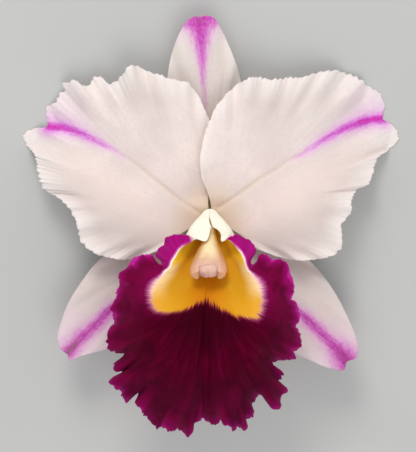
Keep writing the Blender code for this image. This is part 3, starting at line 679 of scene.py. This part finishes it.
def lip_cage():
    """The lip as veins that run along its tube, over the crest of the throat and out to the margin."""
    margin = np.array(LIP_MARGIN)
    along = lengths(averaged(margin, 4))
    faced, *stations = zip(*LIP_STATIONS)
    angle, crest, height = (through(faced, part, np.arange(len(margin))) for part in stations)
    angle = np.radians(angle)
    height = height + LIP_RUFFLE * off_ends(along, 45, 70) * ripple(along, LIP_WAVES)
    start = np.array(AXIS_START) + (0, 0, TUBE_BASE_LIFT)
    pinch = 1.0 - TUBE_BASE_PINCH * ease(-0.3, 1, np.cos(angle))
    base = start + TUBE_BASE_RADIUS * np.stack([-np.sin(angle) * pinch, np.cos(angle), 0 * angle], axis=-1)
    low = 0.5 - 0.5 * np.cos(angle)
    distance, half_depth = (top + (floor - top) * low for top, floor in zip(TUBE_TOP, TUBE_FLOOR))
    throat = tube_ring(angle, distance, TUBE_HALF_WIDTH, half_depth)
    rim = seen(margin[:, 0], margin[:, 1], height)
    columns, crest_place = [], []
    for guides in zip(base, throat, seen(*crest.T), rim):
        knots = lengths(guides)
        crest_place.append(knots[2] / knots[3])
        columns.append(through(knots, guides, np.linspace(0, knots[-1], LIP_ROWS + 1)))
    return relaxed(np.stack(columns, axis=1), 3), along, angle, np.array(crest_place)


def lip_grid():
    """The cage made finer, with the place along the margin, the angle and the crest of each vein."""
    cage, *known = lip_cage()
    rows, columns = cage.shape[:2]
    steps = np.linspace(0, 1, (rows - 1) * LIP_FINER[0] + 1)
    fine_rows = (rows - 1) * (1 - (1 - steps) ** LIP_CROWDING)
    fine_columns = np.linspace(0, columns - 1, (columns - 1) * LIP_FINER[1] + 1)
    points = through(np.arange(rows), cage, fine_rows)
    chords = np.sqrt(np.linalg.norm(np.diff(cage[-1], axis=0), axis=1))
    knots = np.concatenate([[0], np.cumsum(chords)])
    places = np.interp(fine_columns, np.arange(columns), knots)
    points = through(knots, points.swapaxes(0, 1), places).swapaxes(0, 1)
    return points, *(np.interp(fine_columns, np.arange(columns), part) for part in known)


def inside(x, y, outline):
    """True where x, y lies inside a closed outline."""
    found = np.zeros(x.shape, bool)
    for (x0, y0), (x1, y1) in zip(outline, outline[1:] + outline[:1]):
        rise = y1 - y0 if y1 != y0 else 1.0
        found ^= ((y0 > y) != (y1 > y)) & (x < x0 + (y - y0) * (x1 - x0) / rise)
    return found


def yellow_end(x, y, out, crest, crisp):
    """How far out on each vein the yellow of the throat ends: at its drawn edge, or at a crisp crest."""
    rows = len(out)
    yellow = inside(x, y, YELLOW_EDGE) | (np.arange(rows)[:, None] < 0.25 * rows)
    last = rows - 1 - np.argmax(yellow[::-1], axis=0)
    edge = np.take_along_axis(out, last[None, :], 0)[0]
    return averaged(edge + (crest * out[-1] + CREST_SHIFT - edge) * ease(0, 1, crisp), 6)


def lip(finish):
    """The lip: a fine grid of veins, ruffled, pleated and grooved, with scallops and teeth at its margin."""
    points, along, angle, crest = lip_grid()
    steps = np.linalg.norm(np.diff(points, axis=0), axis=-1)
    out = np.concatenate([np.zeros((1, len(along))), np.cumsum(steps, axis=0)])
    to_margin = out[-1] - out
    degrees = np.degrees(angle)
    regions = {}
    for region, (left, left_full, right, right_full) in LIP_REGIONS.items():
        regions[region] = ease(left, left_full, degrees) + ease(right, right_full, degrees)
    x, y = shown_at(points)
    yellow = out - yellow_end(x, y, out, crest, regions["crisp"])
    normal = steadied(facing(points))
    normal = normal * np.sign(normal[-20, len(along) // 2, 2])
    onward = unit(np.gradient(points, axis=0))
    away = unit(averaged(unit((points[-1] - points[-8]) * (1, 1, 0)), 15))
    lobe = off_ends(along, 45, 75)
    calm = 1.0 - 0.9 * ease(0, 1, regions["hood"])
    ruffled = 0.35 + 0.65 * lobe
    fold = wander(along, 2.6, 41) * ease(20, 0, to_margin) ** 2 * ruffled * calm
    fine = 0.3 * wander(along, 1.3, 42) * ease(7, 0, to_margin) * calm
    pleat = 0.14 * wander(along, 1.6, 43) + 0.45 * wander(along, 4.5, 44)
    pleat = pleat * ease(10, 34, yellow) * ease(0, 9, to_margin)
    groove = bell(x - LIP_MIDDLE, 1.6) * lobe * ease(-6, 2, yellow) * ease(3, 14, to_margin)
    scallops = np.abs(wander(along, 2.2, 51)) + 0.7 * np.abs(wander(along, 1.1, 52)) - 0.7
    teeth = np.abs(wander(along, 0.9, 53)) - 0.5
    past = LIP_SCALLOP * scallops * ruffled * ease(4.5, 0, to_margin)
    past = past + LIP_TOOTH * teeth * (0.4 + 0.6 * lobe) * ease(2.5, 0, to_margin)
    points = points + normal * (LIP_FOLD * fold + fine + pleat - LIP_GROOVE * groove)[..., None]
    points = points + (0.35 * onward + 0.75 * away) * (past * calm)[..., None]
    thick, thin = LIP_THICKNESS
    thickness = thick + (thin - thick) * ease(0, 1, out / out[-1])
    marks = {
        "vein": rows_of(along, len(out)), "out": out, "yellow": yellow, "margin": to_margin, "height": y,
        "apex": np.hypot((x - LIP_MIDDLE) / 1.25, y + 44), "across": np.abs(x - LIP_MIDDLE), "fold": fold,
    }
    marks.update((region, rows_of(value, len(out))) for region, value in regions.items())
    return tissue("lip_sheet", points, thickness, marks, finish)


def turns(around):
    return np.linspace(0, 2 * math.pi, around, endpoint=False)


def ring(middle, *ways):
    """Points round a middle: how far each is moved, and along what."""
    for far, way in ways:
        middle = middle + np.outer(far, way)
    return middle


def turned(name, rings, marks, finish):
    """A closed body through rings of points, with both ends filled. Marks hold a value for each point."""
    rows, around = rings.shape[:2]
    count = rows * around
    index = np.pad(np.arange(count).reshape(rows, around), ((0, 0), (0, 1)), "wrap")
    first, last = index[0].tolist(), index[-1].tolist()
    faces = cells(index).tolist()
    faces += [(b, a, count) for a, b in zip(first, first[1:])]
    faces += [(a, b, count + 1) for a, b in zip(last, last[1:])]
    every = np.concatenate([rings.reshape(-1, 3), [rings[0].mean(0), rings[-1].mean(0)]])
    maps = [cell_map(rows, around + 1, MAP_SIDE)]
    turn = np.linspace(0, 2 * math.pi, around + 1)
    for centre, step in zip(MAP_DISCS, (-1, 1)):
        rim = centre + MAP_DISC_RADIUS * np.stack([np.cos(turn), np.sin(turn)], axis=-1)
        pair = [rim[:-1], rim[1:]][::step]
        maps.append(np.stack([*pair, np.full((around, 2), centre)], axis=1).reshape(-1, 2))
    spread = {key: np.r_[value.ravel(), value[0].mean(), value[-1].mean()] for key, value in marks.items()}
    return mesh_of(name, every, faces, maps, spread, finish)


def column_middle(on):
    """Middle of the column at a distance along it."""
    aside = COLUMN_LEAN * (on / COLUMN_SECTIONS[-1][0]) ** 2
    return np.array(AXIS_START) + AXIS_ALONG * on + ACROSS * aside


def column(finish):
    """Column: narrow at its base, widening to two wings that end in teeth beside the anther cap."""
    around, rows = COLUMN_GRID
    turn = turns(around)
    knots = [section[0] for section in COLUMN_SECTIONS]
    places = np.linspace(0, knots[-1], rows)
    halves = through(knots, [section[1:] for section in COLUMN_SECTIONS], places)
    tooth = (COLUMN_TOOTH + COLUMN_NOTCH) * ease(0.55, 0.7, np.abs(np.sin(turn)))
    rings = []
    for on, (wide, deep) in zip(places, halves):
        lean = ease(0, 8, on)
        way = AXIS_ALONG * lean + np.array([0, 0, 1]) * (1 - lean)
        high = AXIS_UP * lean + np.array([0, 1, 0]) * (1 - lean)
        ridge = 1.0 + 0.25 * lean * np.clip(np.cos(turn), 0, None) ** 3
        end = (tooth - COLUMN_NOTCH) * ease(22, knots[-1], on)
        sides = (-wide * np.sin(turn), ACROSS), (deep * np.cos(turn) * ridge, high)
        rings.append(ring(column_middle(on), *sides, (end, way)))
    level = np.outer(tooth, AXIS_ALONG)
    seat = column_middle(knots[-1]) - AXIS_ALONG * COLUMN_NOTCH
    far = rings[-1] - level - seat
    wall = 0.93 * far
    wall[:, 0] = np.clip(far[:, 0], -COLUMN_WALL, COLUMN_WALL) * 0.98
    for inward, height in COLUMN_WELL:
        rings.append(seat + far + inward * (wall - far) + level * height)
    rings = np.stack(rings)
    marks = {
        "on": columns_of(np.pad(places, (0, len(COLUMN_WELL)), "edge"), around),
        "ridge": rows_of(np.cos(turn), len(rings)),
        "inside": columns_of((np.arange(len(rings)) > rows).astype(float), around),
    }
    return turned("column_body", rings, marks, finish)


def blunt(value):
    """Opens the circle that sines and cosines make into a rounded square."""
    return np.sign(value) * np.abs(value) ** 0.75


def anther_cap(finish):
    """A blunt cap of two lobes on the end of the column, between its teeth."""
    around, rows = CAP_GRID
    turn = turns(around)
    seat = column_middle(COLUMN_SECTIONS[-1][0] - COLUMN_NOTCH)
    half_width, half_depth, length = CAP_RADII
    rings = []
    for out in np.sin(np.linspace(0, 0.5 * math.pi, rows)):
        size = math.sqrt(max(1.0 - out ** 3, 0.0004))
        side, depth = size * blunt(np.cos(turn)), size * blunt(np.sin(turn))
        cleft = 1.0 - 0.16 * bell(side, 0.14) * out
        end = CAP_SEAT + (length - CAP_SEAT) * out * cleft
        sides = (half_width * side, ACROSS), (CAP_RISE + half_depth * depth, AXIS_UP)
        rings.append(ring(seat, *sides, (end, AXIS_ALONG)))
    marks = {"top": rows_of(ease(0.1, 0.95, np.sin(turn)), rows)}
    return turned("anther_cap_shell", np.stack(rings), marks, finish)


def stalk(finish):
    """Knob, ovary with its six ribs and pedicel as one tube; the cut end rests on a small flat spot."""
    around, rows = STALK_GRID
    end_z = table(STALK_END[1]) + (STALK_END_RADIUS - 0.15) / math.cos(TILT)
    guides = [(0, y, z, radius) for y, z, radius in STALK_LINE]
    guides.append((*STALK_END, end_z, STALK_END_RADIUS))
    knots = lengths([guide[:3] for guide in guides])
    places = np.linspace(0, knots[-1], rows)
    dense = through(knots, guides, places)
    centre, radius = dense[:, :3], dense[:, 3]
    way = unit(np.gradient(centre, axis=0))
    turn = turns(around)
    ribbed = ease(12, 20, places) * ease(48, 30, places)
    rings = []
    for middle, size, ahead, rib in zip(centre, radius, way, ribbed):
        reach = size * (1 + rib * (0.05 * np.cos(6 * turn) - 0.02))
        sides = (reach * np.cos(turn), ACROSS), (reach * np.sin(turn), np.cross(ACROSS, ahead))
        rings.append(ring(middle, *sides))
    rim = rings[-1] - centre[-1]
    for inward in STALK_CUT:
        rings.append(centre[-1] + inward * rim - way[-1] * STALK_HOLLOW * (1 - inward))
    ends = len(STALK_CUT)
    marks = {
        "on": columns_of(np.pad(places, (0, ends), "edge"), around),
        "ribs": np.outer(np.pad(ribbed, (0, ends)), np.cos(6 * turn)),
        "cut": columns_of(np.concatenate([np.zeros(rows), [0.4, 1, 1, 1]]), around),
        "core": columns_of(np.concatenate([np.ones(rows), STALK_CUT]), around),
    }
    return turned("stalk_stem", np.stack(rings), marks, finish)


def srgb(red, green, blue):
    """A colour given as it shows, from 0 to 255, in the linear values that shaders take."""
    shown = np.array([red, green, blue]) / 255.0
    linear = np.where(shown <= 0.04045, shown / 12.92, ((shown + 0.055) / 1.055) ** 2.4)
    return (*linear.tolist(), 1)


class Finish:
    """A material with scattering under its surface, and short ways to add the nodes that drive it."""

    def __init__(self, name, weight, scale, radius, specular, **others):
        self.material = bpy.data.materials.new(name)
        self.material.use_nodes = True
        self.tree = self.material.node_tree
        self.set(Subsurface_Weight=weight, Subsurface_Scale=scale, Subsurface_Radius=radius)
        self.set(Specular_IOR_Level=specular, **others)

    def feed(self, node, inputs):
        """Gives a node its inputs, each a plain value or the output of another node."""
        for key, value in inputs.items():
            if isinstance(value, bpy.types.NodeSocket):
                self.tree.links.new(value, node.inputs[key])
            else:
                node.inputs[key].default_value = value
        return node

    def set(self, **sockets):
        sockets = {name.replace("_", " "): value for name, value in sockets.items()}
        self.feed(self.tree.nodes["Principled BSDF"], sockets)

    def node(self, kind, inputs, **settings):
        made = self.tree.nodes.new(kind)
        for setting, value in settings.items():
            setattr(made, setting, value)
        return self.feed(made, inputs)

    def marks(self, *names):
        """Outputs that read the marks of the mesh."""
        return [self.node("ShaderNodeAttribute", {}, attribute_name=name).outputs["Fac"] for name in names]

    def work(self, operation, first, second=0):
        return self.node("ShaderNodeMath", {0: first, 1: second}, operation=operation).outputs[0]

    def times(self, first, second):
        return self.work("MULTIPLY", first, second)

    def plus(self, first, second):
        return self.work("ADD", first, second)

    def ease(self, value, low, high, start=0, end=1):
        """From start where the value is at low, softly to end where it is at high."""
        inputs = {"Value": value, "From Min": low, "From Max": high, "To Min": start, "To Max": end}
        return self.node("ShaderNodeMapRange", inputs, interpolation_type="SMOOTHSTEP").outputs[0]

    def noise(self, scale, detail=2, vector=None):
        """Noise all through the piece, unless a place is given."""
        vector = vector or self.node("ShaderNodeTexCoord", {}).outputs["Object"]
        inputs = {"Vector": vector, "Scale": scale, "Detail": detail}
        return self.node("ShaderNodeTexNoise", inputs).outputs[0]

    def strokes(self, across, turns, along, runs, layer=0, detail=2):
        """Noise drawn out along the veins, with how fast it changes across them and along them."""
        inputs = {0: self.times(across, turns), 1: self.times(along, runs), 2: layer}
        return self.noise(1, detail, self.node("ShaderNodeCombineXYZ", inputs).outputs[0])

    def blend(self, factor, first, second):
        """From the first colour to the second; each is a socket or a colour as it shows."""
        first, second = (srgb(*colour) if isinstance(colour, tuple) else colour for colour in (first, second))
        return self.node("ShaderNodeMix", {0: factor, 6: first, 7: second}, data_type="RGBA").outputs[2]

    def coats(self, colour, *coats):
        """Coats over a colour: each has its cover, or a value, where it starts and is full, and how much."""
        for *cover, coat in coats:
            factor = cover[0] if len(cover) == 1 else self.ease(*cover[:3], 0, *cover[3:])
            colour = self.blend(factor, colour, coat)
        return colour

    def done(self, colour, pattern, smooth, dull, *reliefs):
        """The material with its colour, its roughness and its relief: patterns, distances and strengths."""
        below = {}
        for height, distance, strength in reliefs:
            inputs = {"Height": height, "Distance": distance * MM, "Strength": strength, **below}
            below = {"Normal": self.node("ShaderNodeBump", inputs).outputs[0]}
        self.set(Base_Color=colour, Roughness=self.ease(pattern, 0.3, 0.7, smooth, dull), **below)
        return self.material


def petal_finish(name, white, shade, edge, claw, lilac, pink, magenta):
    """White tissue with fine veins, a tan claw, a lilac blush and a magenta flame along the midrib; painted
    light at the margin, painted shade away from the midrib and on the lower halves.
    """
    f = Finish(name, 0.3, 0.0014, (1, 0.75, 0.7), 0.3, Sheen_Weight=0.08, Sheen_Roughness=0.5)
    vein, s, reach, rib, way = f.marks("vein", "s", "reach", "rib", "way")
    warm, outer, blush, magentas, keel = f.marks("warm", "outer", "blush", "magenta", "keel")
    streaks = f.strokes(vein, 0.8, s, 2.2, detail=3)
    hairlines = f.strokes(vein, 2.6, s, 5, 4)
    clouds, grain, cells = f.noise(60, 3), f.noise(2200), f.noise(820)
    mottle = f.plus(f.times(clouds, 0.75), f.times(streaks, 0.25))
    near = f.ease(reach, 4, 20, 0.8, 0)
    along_rib = f.times(f.ease(f.work("ABSOLUTE", rib), 0.4, 2.6, 0.35, 0), f.ease(reach, 52, 14))
    feather = f.ease(f.strokes(rib, 1.5, way, 11, 9, 3), 0.3, 0.7, 0.8, 1.16)
    feather = f.times(feather, f.ease(cells, 0.3, 0.7, 0.84, 1.12))
    flame = f.times(magentas, feather)
    colour = f.coats(
        f.blend(f.ease(mottle, 0.35, 0.68, 0.62, 1), shade, white),
        (hairlines, 0.55, 0.8, 0.1, (206, 188, 182)),
        (grain, 0.5, 0.75, 0.16, (206, 190, 186)),
        (cells, 0.48, 0.7, 0.18, (204, 190, 188)),
        # Pink tint with painted shade on the lower halves
        (f.times(warm, 0.4), (228, 202, 192)),
        # Painted shade away from the midrib
        (f.times(outer, 0.78), shade),
        # Painted light: the margin is painted lighter where the bent-back blade turns from the lamps
        (s, 0.8, 1, 0.5, edge),
        (f.work("MAXIMUM", near, along_rib), claw),
        (f.times(blush, feather), (226, 182, 220)),
        (flame, 0.02, 0.36, lilac),
        (flame, 0.2, 0.66, pink),
        (flame, 0.55, 1, magenta),
        (f.times(keel, 0.8), (132, 98, 84)),
    )
    reliefs = (streaks, 0.3, 0.2), (hairlines, 0.15, 0.25), (cells, 0.14, 0.3), (grain, 0.12, 0.4)
    return f.done(colour, grain, 0.42, 0.6, *reliefs)


def lip_finish():
    """Velvet magenta with darker wine rays, a feathered pale band and a golden throat; cream behind. Folds get
    painted highlights and painted shade, and the gold painted light and shade.
    """
    f = Finish(
        "lip_magenta", 0.25, 0.0012, (1, 0.35, 0.3), 0.12, Specular_Tint=srgb(255, 90, 190),
        Sheen_Weight=0.03, Sheen_Roughness=0.35, Sheen_Tint=srgb(255, 60, 190),
    )
    vein, out, yellow, margin, height, apex = f.marks("vein", "out", "yellow", "margin", "height", "apex")
    across, fold, hood, flap, side, crisp = f.marks("across", "fold", "hood", "flap", "side", "crisp")
    rays = f.strokes(vein, 0.22, out, 0.06, detail=3)
    strands = f.strokes(vein, 1.1, out, 0.14, 6)
    lines = f.strokes(vein, 2.6, out, 0.2, 3)
    blotches, velvet = f.noise(150), f.noise(3200, 1)
    feather = f.work("SUBTRACT", f.plus(f.times(strands, 4), f.times(lines, 0.8)), 2.4)
    soft = f.work("SUBTRACT", f.ease(side, 0, 1, 1.4, 0.7), f.times(crisp, 0.6))
    past = f.plus(yellow, f.times(feather, soft))
    edge = f.plus(margin, f.times(f.work("SUBTRACT", rays, 0.5), 12))
    wine = f.coats(
        f.blend(f.ease(apex, 2, 20), (52, 0, 10), (72, 0, 20)),
        (apex, 16, 40, (76, 1, 31)),
        (f.times(side, f.ease(margin, 26, 10)), (122, 4, 60)),
        (f.times(f.ease(rays, 0.46, 0.7, 0, 0.5), f.ease(apex, 3, 20, 0.4, 1)), (106, 1, 46)),
        (strands, 0.5, 0.75, 0.2, (58, 0, 18)),
        (blotches, 0.48, 0.68, 0.55, (54, 0, 18)),
        (f.times(side, f.ease(yellow, 7, 1, 0, 0.5)), (146, 8, 84)),
        # Painted highlights on the fold ridges and painted shade in their hollows
        (fold, 0, 0.6, 0.5, (136, 8, 66)),
        (fold, 0, -0.6, 0.5, (56, 0, 20)),
        (edge, 15, 2, 0.45, (96, 3, 44)),
        (f.times(f.ease(edge, 6, 1), f.ease(side, 0, 1, 0.3, 0.9)), (152, 12, 102)),
        (f.times(f.ease(edge, 1.6, 0.2), f.ease(side, 0, 1, 0.2, 0.75)), (200, 44, 156)),
        (flap, f.blend(f.ease(strands, 0.35, 0.65), (156, 12, 106), (170, 18, 124))),
    )
    lower = f.ease(height, -28, -37)
    aside = f.times(f.times(side, f.ease(flap, 0, 1, 1, 0.3)), f.ease(lower, 0, 1, 1, 0.15))
    # Painted light and shade in the gold: a little lighter deeper in the throat, brighter by the flaps, darker
    # under the column's end
    gold = f.coats(
        f.blend(f.ease(yellow, -24, -9), (226, 168, 38), (218, 158, 34)),
        (lower, (228, 165, 32)),
        (f.times(f.ease(yellow, -10, -0.5), aside), (248, 212, 150)),
        # Painted shade in the middle of the throat under the column's end
        (f.times(f.ease(across, 13, 1, 0, 0.7), f.ease(yellow, -22, -12)), (206, 122, 0)),
        # Painted light: the gold by the flaps is made brighter where the throat lies in shade
        (flap, (255, 208, 44)),
        (strands, 0.45, 0.7, 0.2, (206, 134, 12)),
    )
    cream = f.coats(gold, (side, 0, 1, 0.85, (248, 207, 202)), (f.times(lower, 0.45), gold))
    start = f.plus(f.ease(crisp, 0, 1, -3.2, -1), f.times(lower, 1.4))
    low = f.plus(f.ease(side, 0, 1, -1.2, -1.9), f.times(crisp, 1.8))
    high = f.plus(f.times(crisp, -0.6), 1)
    end_low = f.plus(low, f.ease(crisp, 0, 1, 0.7, 0.25))
    end_high = f.plus(high, f.ease(crisp, 0, 1, 1.4, 0.5))
    rim = f.coats(f.blend(side, (150, 50, 56), (206, 112, 176)), (crisp, (224, 110, 188)))
    front = f.coats(
        gold,
        (f.ease(past, start, 0.1), cream),
        (f.times(crisp, f.ease(past, -0.6, -0.1)), (255, 246, 240)),
        (f.ease(past, low, high), rim),
        (f.ease(past, end_low, end_high), wine),
        (hood, (255, 251, 238)),
    )
    back = f.coats(
        f.blend(f.ease(yellow, 0, 14), (255, 248, 226), (208, 140, 188)),
        (margin, 9, 1, 0.8, (176, 30, 130)),
        (hood, (255, 250, 230)),
    )
    far = f.ease(yellow, 2, 30, 0.2, 1)
    folds = (f.times(rays, far), 0.7, 0.4), (f.times(strands, far), 0.4, 0.4)
    colour = f.blend(*f.marks("back"), front, back)
    return f.done(colour, velvet, 0.5, 0.72, *folds, (lines, 0.18, 0.3), (velvet, 0.14, 0.5))


def column_finish():
    """Cream with a painted highlight along its top ridge, peach wings and a faint blush at the teeth."""
    f = Finish("column_cream", 0.4, 0.002, (1, 0.6, 0.35), 0.45)
    on, ridge, well = f.marks("on", "ridge", "inside")
    clouds, grain = f.noise(260), f.noise(2400, 1)
    colour = f.coats(
        f.blend(f.ease(on, 4, 24), (250, 206, 100), (210, 154, 104)),
        # Painted highlight along the top of the column
        (ridge, 0.66, 1, 0.95, (254, 232, 186)),
        (f.times(f.ease(on, 20, 28), f.ease(ridge, -0.2, 0.8, 0.15, 0.9)), (224, 176, 152)),
        (clouds, 0.5, 0.75, 0.3, (214, 164, 120)),
        (well, (224, 178, 144)),
    )
    return f.done(colour, grain, 0.34, 0.5, (grain, 0.1, 0.3))


def cap_finish():
    """Pinkish white, peach on top, partly its own colour and partly painted shade, with soft lumps and a fine
    sparkle of cells.
    """
    f = Finish("cap_white", 0.4, 0.0015, (1, 0.7, 0.7), 0.5)
    lumps, cells = f.noise(620), f.noise(1900, 1)
    colour = f.coats(
        f.blend(f.ease(lumps, 0.34, 0.66), (202, 158, 154), (230, 196, 188)),
        (cells, 0.5, 0.75, 0.2, (190, 148, 152)),
        # The top is painted darker peach: partly the cap's own colour, partly painted shade from the column
        (f.times(*f.marks("top"), 0.7), (226, 182, 160)),
    )
    return f.done(colour, cells, 0.4, 0.6, (lumps, 0.5, 0.4), (cells, 0.08, 0.4))


def stalk_finish():
    """Green with pale ribs, fine specks and a moist, pale cut end."""
    f = Finish("stalk_green", 0.15, 0.0015, (0.6, 1, 0.3), 0.4)
    on, ribs, core, cut = f.marks("on", "ribs", "core", "cut")
    clouds, specks = f.noise(180, 3), f.noise(1500)
    colour = f.coats(
        f.blend(f.ease(on, 6, 26), (196, 200, 128), (122, 148, 62)),
        (on, 8, 4, (226, 208, 186)),
        (on, 40, 80, (104, 130, 56)),
        (ribs, 0.2, 1, 0.45, (158, 176, 96)),
        (clouds, 0.45, 0.7, 0.5, (84, 104, 44)),
        (specks, 0.62, 0.72, 0.5, (118, 62, 64)),
        (cut, f.blend(f.ease(core, 0.78, 0.9), (206, 214, 160), (140, 160, 84))),
    )
    return f.done(colour, specks, 0.36, 0.55, (specks, 0.1, 0.3))


def floor_finish():
    f = Finish("floor_pale", 0, 0.05, (1, 0.2, 0.1), 0.2, Roughness=0.85)
    f.set(Base_Color=f.blend(f.noise(9), (186, 186, 184), (196, 196, 193)))
    return f.material


def dress(piece, node):
    """The piece stands for a node of the frame and moves with it."""
    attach(piece, "root")
    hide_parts(node)


def floor():
    mesh = bpy.data.meshes.new("floor")
    corners = [(-1, -1), (1, -1), (1, 1), (-1, 1)]
    mesh.from_pydata([(FLOOR_HALF * x, FLOOR_HALF * y, -FLOOR_DROP) for x, y in corners], [], [(0, 1, 2, 3)])
    mesh.materials.append(floor_finish())
    put("floor", mesh)


def soft_light(name, place, size, power, colour):
    """An area light that looks at the bloom."""
    light = bpy.data.lights.new(name, "AREA")
    light.size = size
    light.energy = power
    light.color = colour
    made = put(name, light)
    made.location = place
    made.rotation_euler = (Vector(LIT_POINT) - Vector(place)).to_track_quat("-Z", "Y").to_euler()


def studio():
    world = bpy.data.worlds.new("studio")
    world.use_nodes = True
    sky = world.node_tree.nodes["Background"].inputs
    sky["Color"].default_value = SKY_COLOUR
    sky["Strength"].default_value = SKY_STRENGTH
    bpy.context.scene.world = world
    soft_light("key", (-0.16, 0.86, 0.68), 0.4, 5.4, (1, 0.97, 0.93))
    soft_light("fill", (0.15, -0.5, 0.85), 0.7, 2.9, (1, 0.98, 0.96))
    bpy.context.scene.view_settings.view_transform = "Standard"


def photo_camera():
    """Looks straight at the bloom's face from SIGHT, framed as the photograph is."""
    width, height = PHOTO_SIZE
    data = bpy.data.cameras.new("camera")
    data.sensor_fit = "HORIZONTAL"
    data.sensor_width = SENSOR_WIDTH
    data.lens = SENSOR_WIDTH * SIGHT / (width * PHOTO_SCALE)
    data.shift_x = (width / 2 - PHOTO_ORIGIN[0]) / width
    data.shift_y = (PHOTO_ORIGIN[1] - height / 2) / width
    data.clip_start = 0.01
    camera = put("camera", data)
    lie = Matrix.Translation((SHIFT[0] * MM, SHIFT[1] * MM, REST_HEIGHT * MM)) @ Matrix.Rotation(-TILT, 4, "X")
    camera.matrix_world = lie @ Matrix.Translation((0, 0, SIGHT * MM))
    bpy.context.scene.camera = camera


# Colours of the tissue: white, its shade, the lighter margin that is painted light, the claw, and the lilac,
# pink and magenta of the flame
petal_white = petal_finish(
    "petal_white", (242, 225, 219), (205, 191, 186), (250, 238, 233), (224, 196, 168),
    (232, 172, 222), (208, 92, 200), (208, 34, 168),
)
dorsal_white = petal_finish(
    "dorsal_white", (232, 219, 212), (208, 195, 188), (240, 228, 221), (206, 194, 156),
    (220, 160, 206), (206, 98, 190), (186, 38, 158),
)
# The lateral sepals take the dorsal colours made darker: painted shade where they lie behind the petals and
# the lip
lateral_shaded_white = petal_finish(
    "lateral_shaded_white", (216, 202, 197), (196, 181, 177), (228, 215, 210), (200, 188, 150),
    (212, 156, 198), (192, 88, 174), (170, 34, 142),
)
left_flame = partial(lateral_flame, tip=0.04, end=1)
right_flame = partial(lateral_flame, tip=0.34, end=0.3)

# Each blade with its margin, its midrib, the angle at which it stands out, and what its kind needs
sepals = {
    "sepal_dorsal": (SEPAL_DORSAL_MARGIN, SEPAL_DORSAL_RIB, 92, 7, dorsal_flame, dorsal_white),
    "sepal_left": (SEPAL_LEFT_MARGIN, SEPAL_LEFT_RIB, 224, -1, left_flame, lateral_shaded_white),
    "sepal_right": (SEPAL_RIGHT_MARGIN, SEPAL_RIGHT_RIB, 313, -1, right_flame, lateral_shaded_white),
}
petals = {
    "petal_left": (PETAL_LEFT_MARGIN, PETAL_LEFT_RIB, 154, -1, BACK_LIFT,
                   PETAL_LEFT_PLEATS, PETAL_LEFT_FOLDS, PETAL_LEFT_FLAME, petal_white),
    "petal_right": (PETAL_RIGHT_MARGIN, PETAL_RIGHT_RIB, 27, 1, FRONT_LIFT,
                    PETAL_RIGHT_PLEATS, PETAL_RIGHT_FOLDS, PETAL_RIGHT_FLAME, petal_white),
}
for make, blades in ((sepal, sepals), (petal, petals)):
    for node, form in blades.items():
        dress(make(node + "_blade", *form), node)
dress(lip(lip_finish()), "lip")
dress(column(column_finish()), "column")
dress(anther_cap(cap_finish()), "anther_cap")
dress(stalk(stalk_finish()), "stalk")

floor()
studio()
photo_camera()
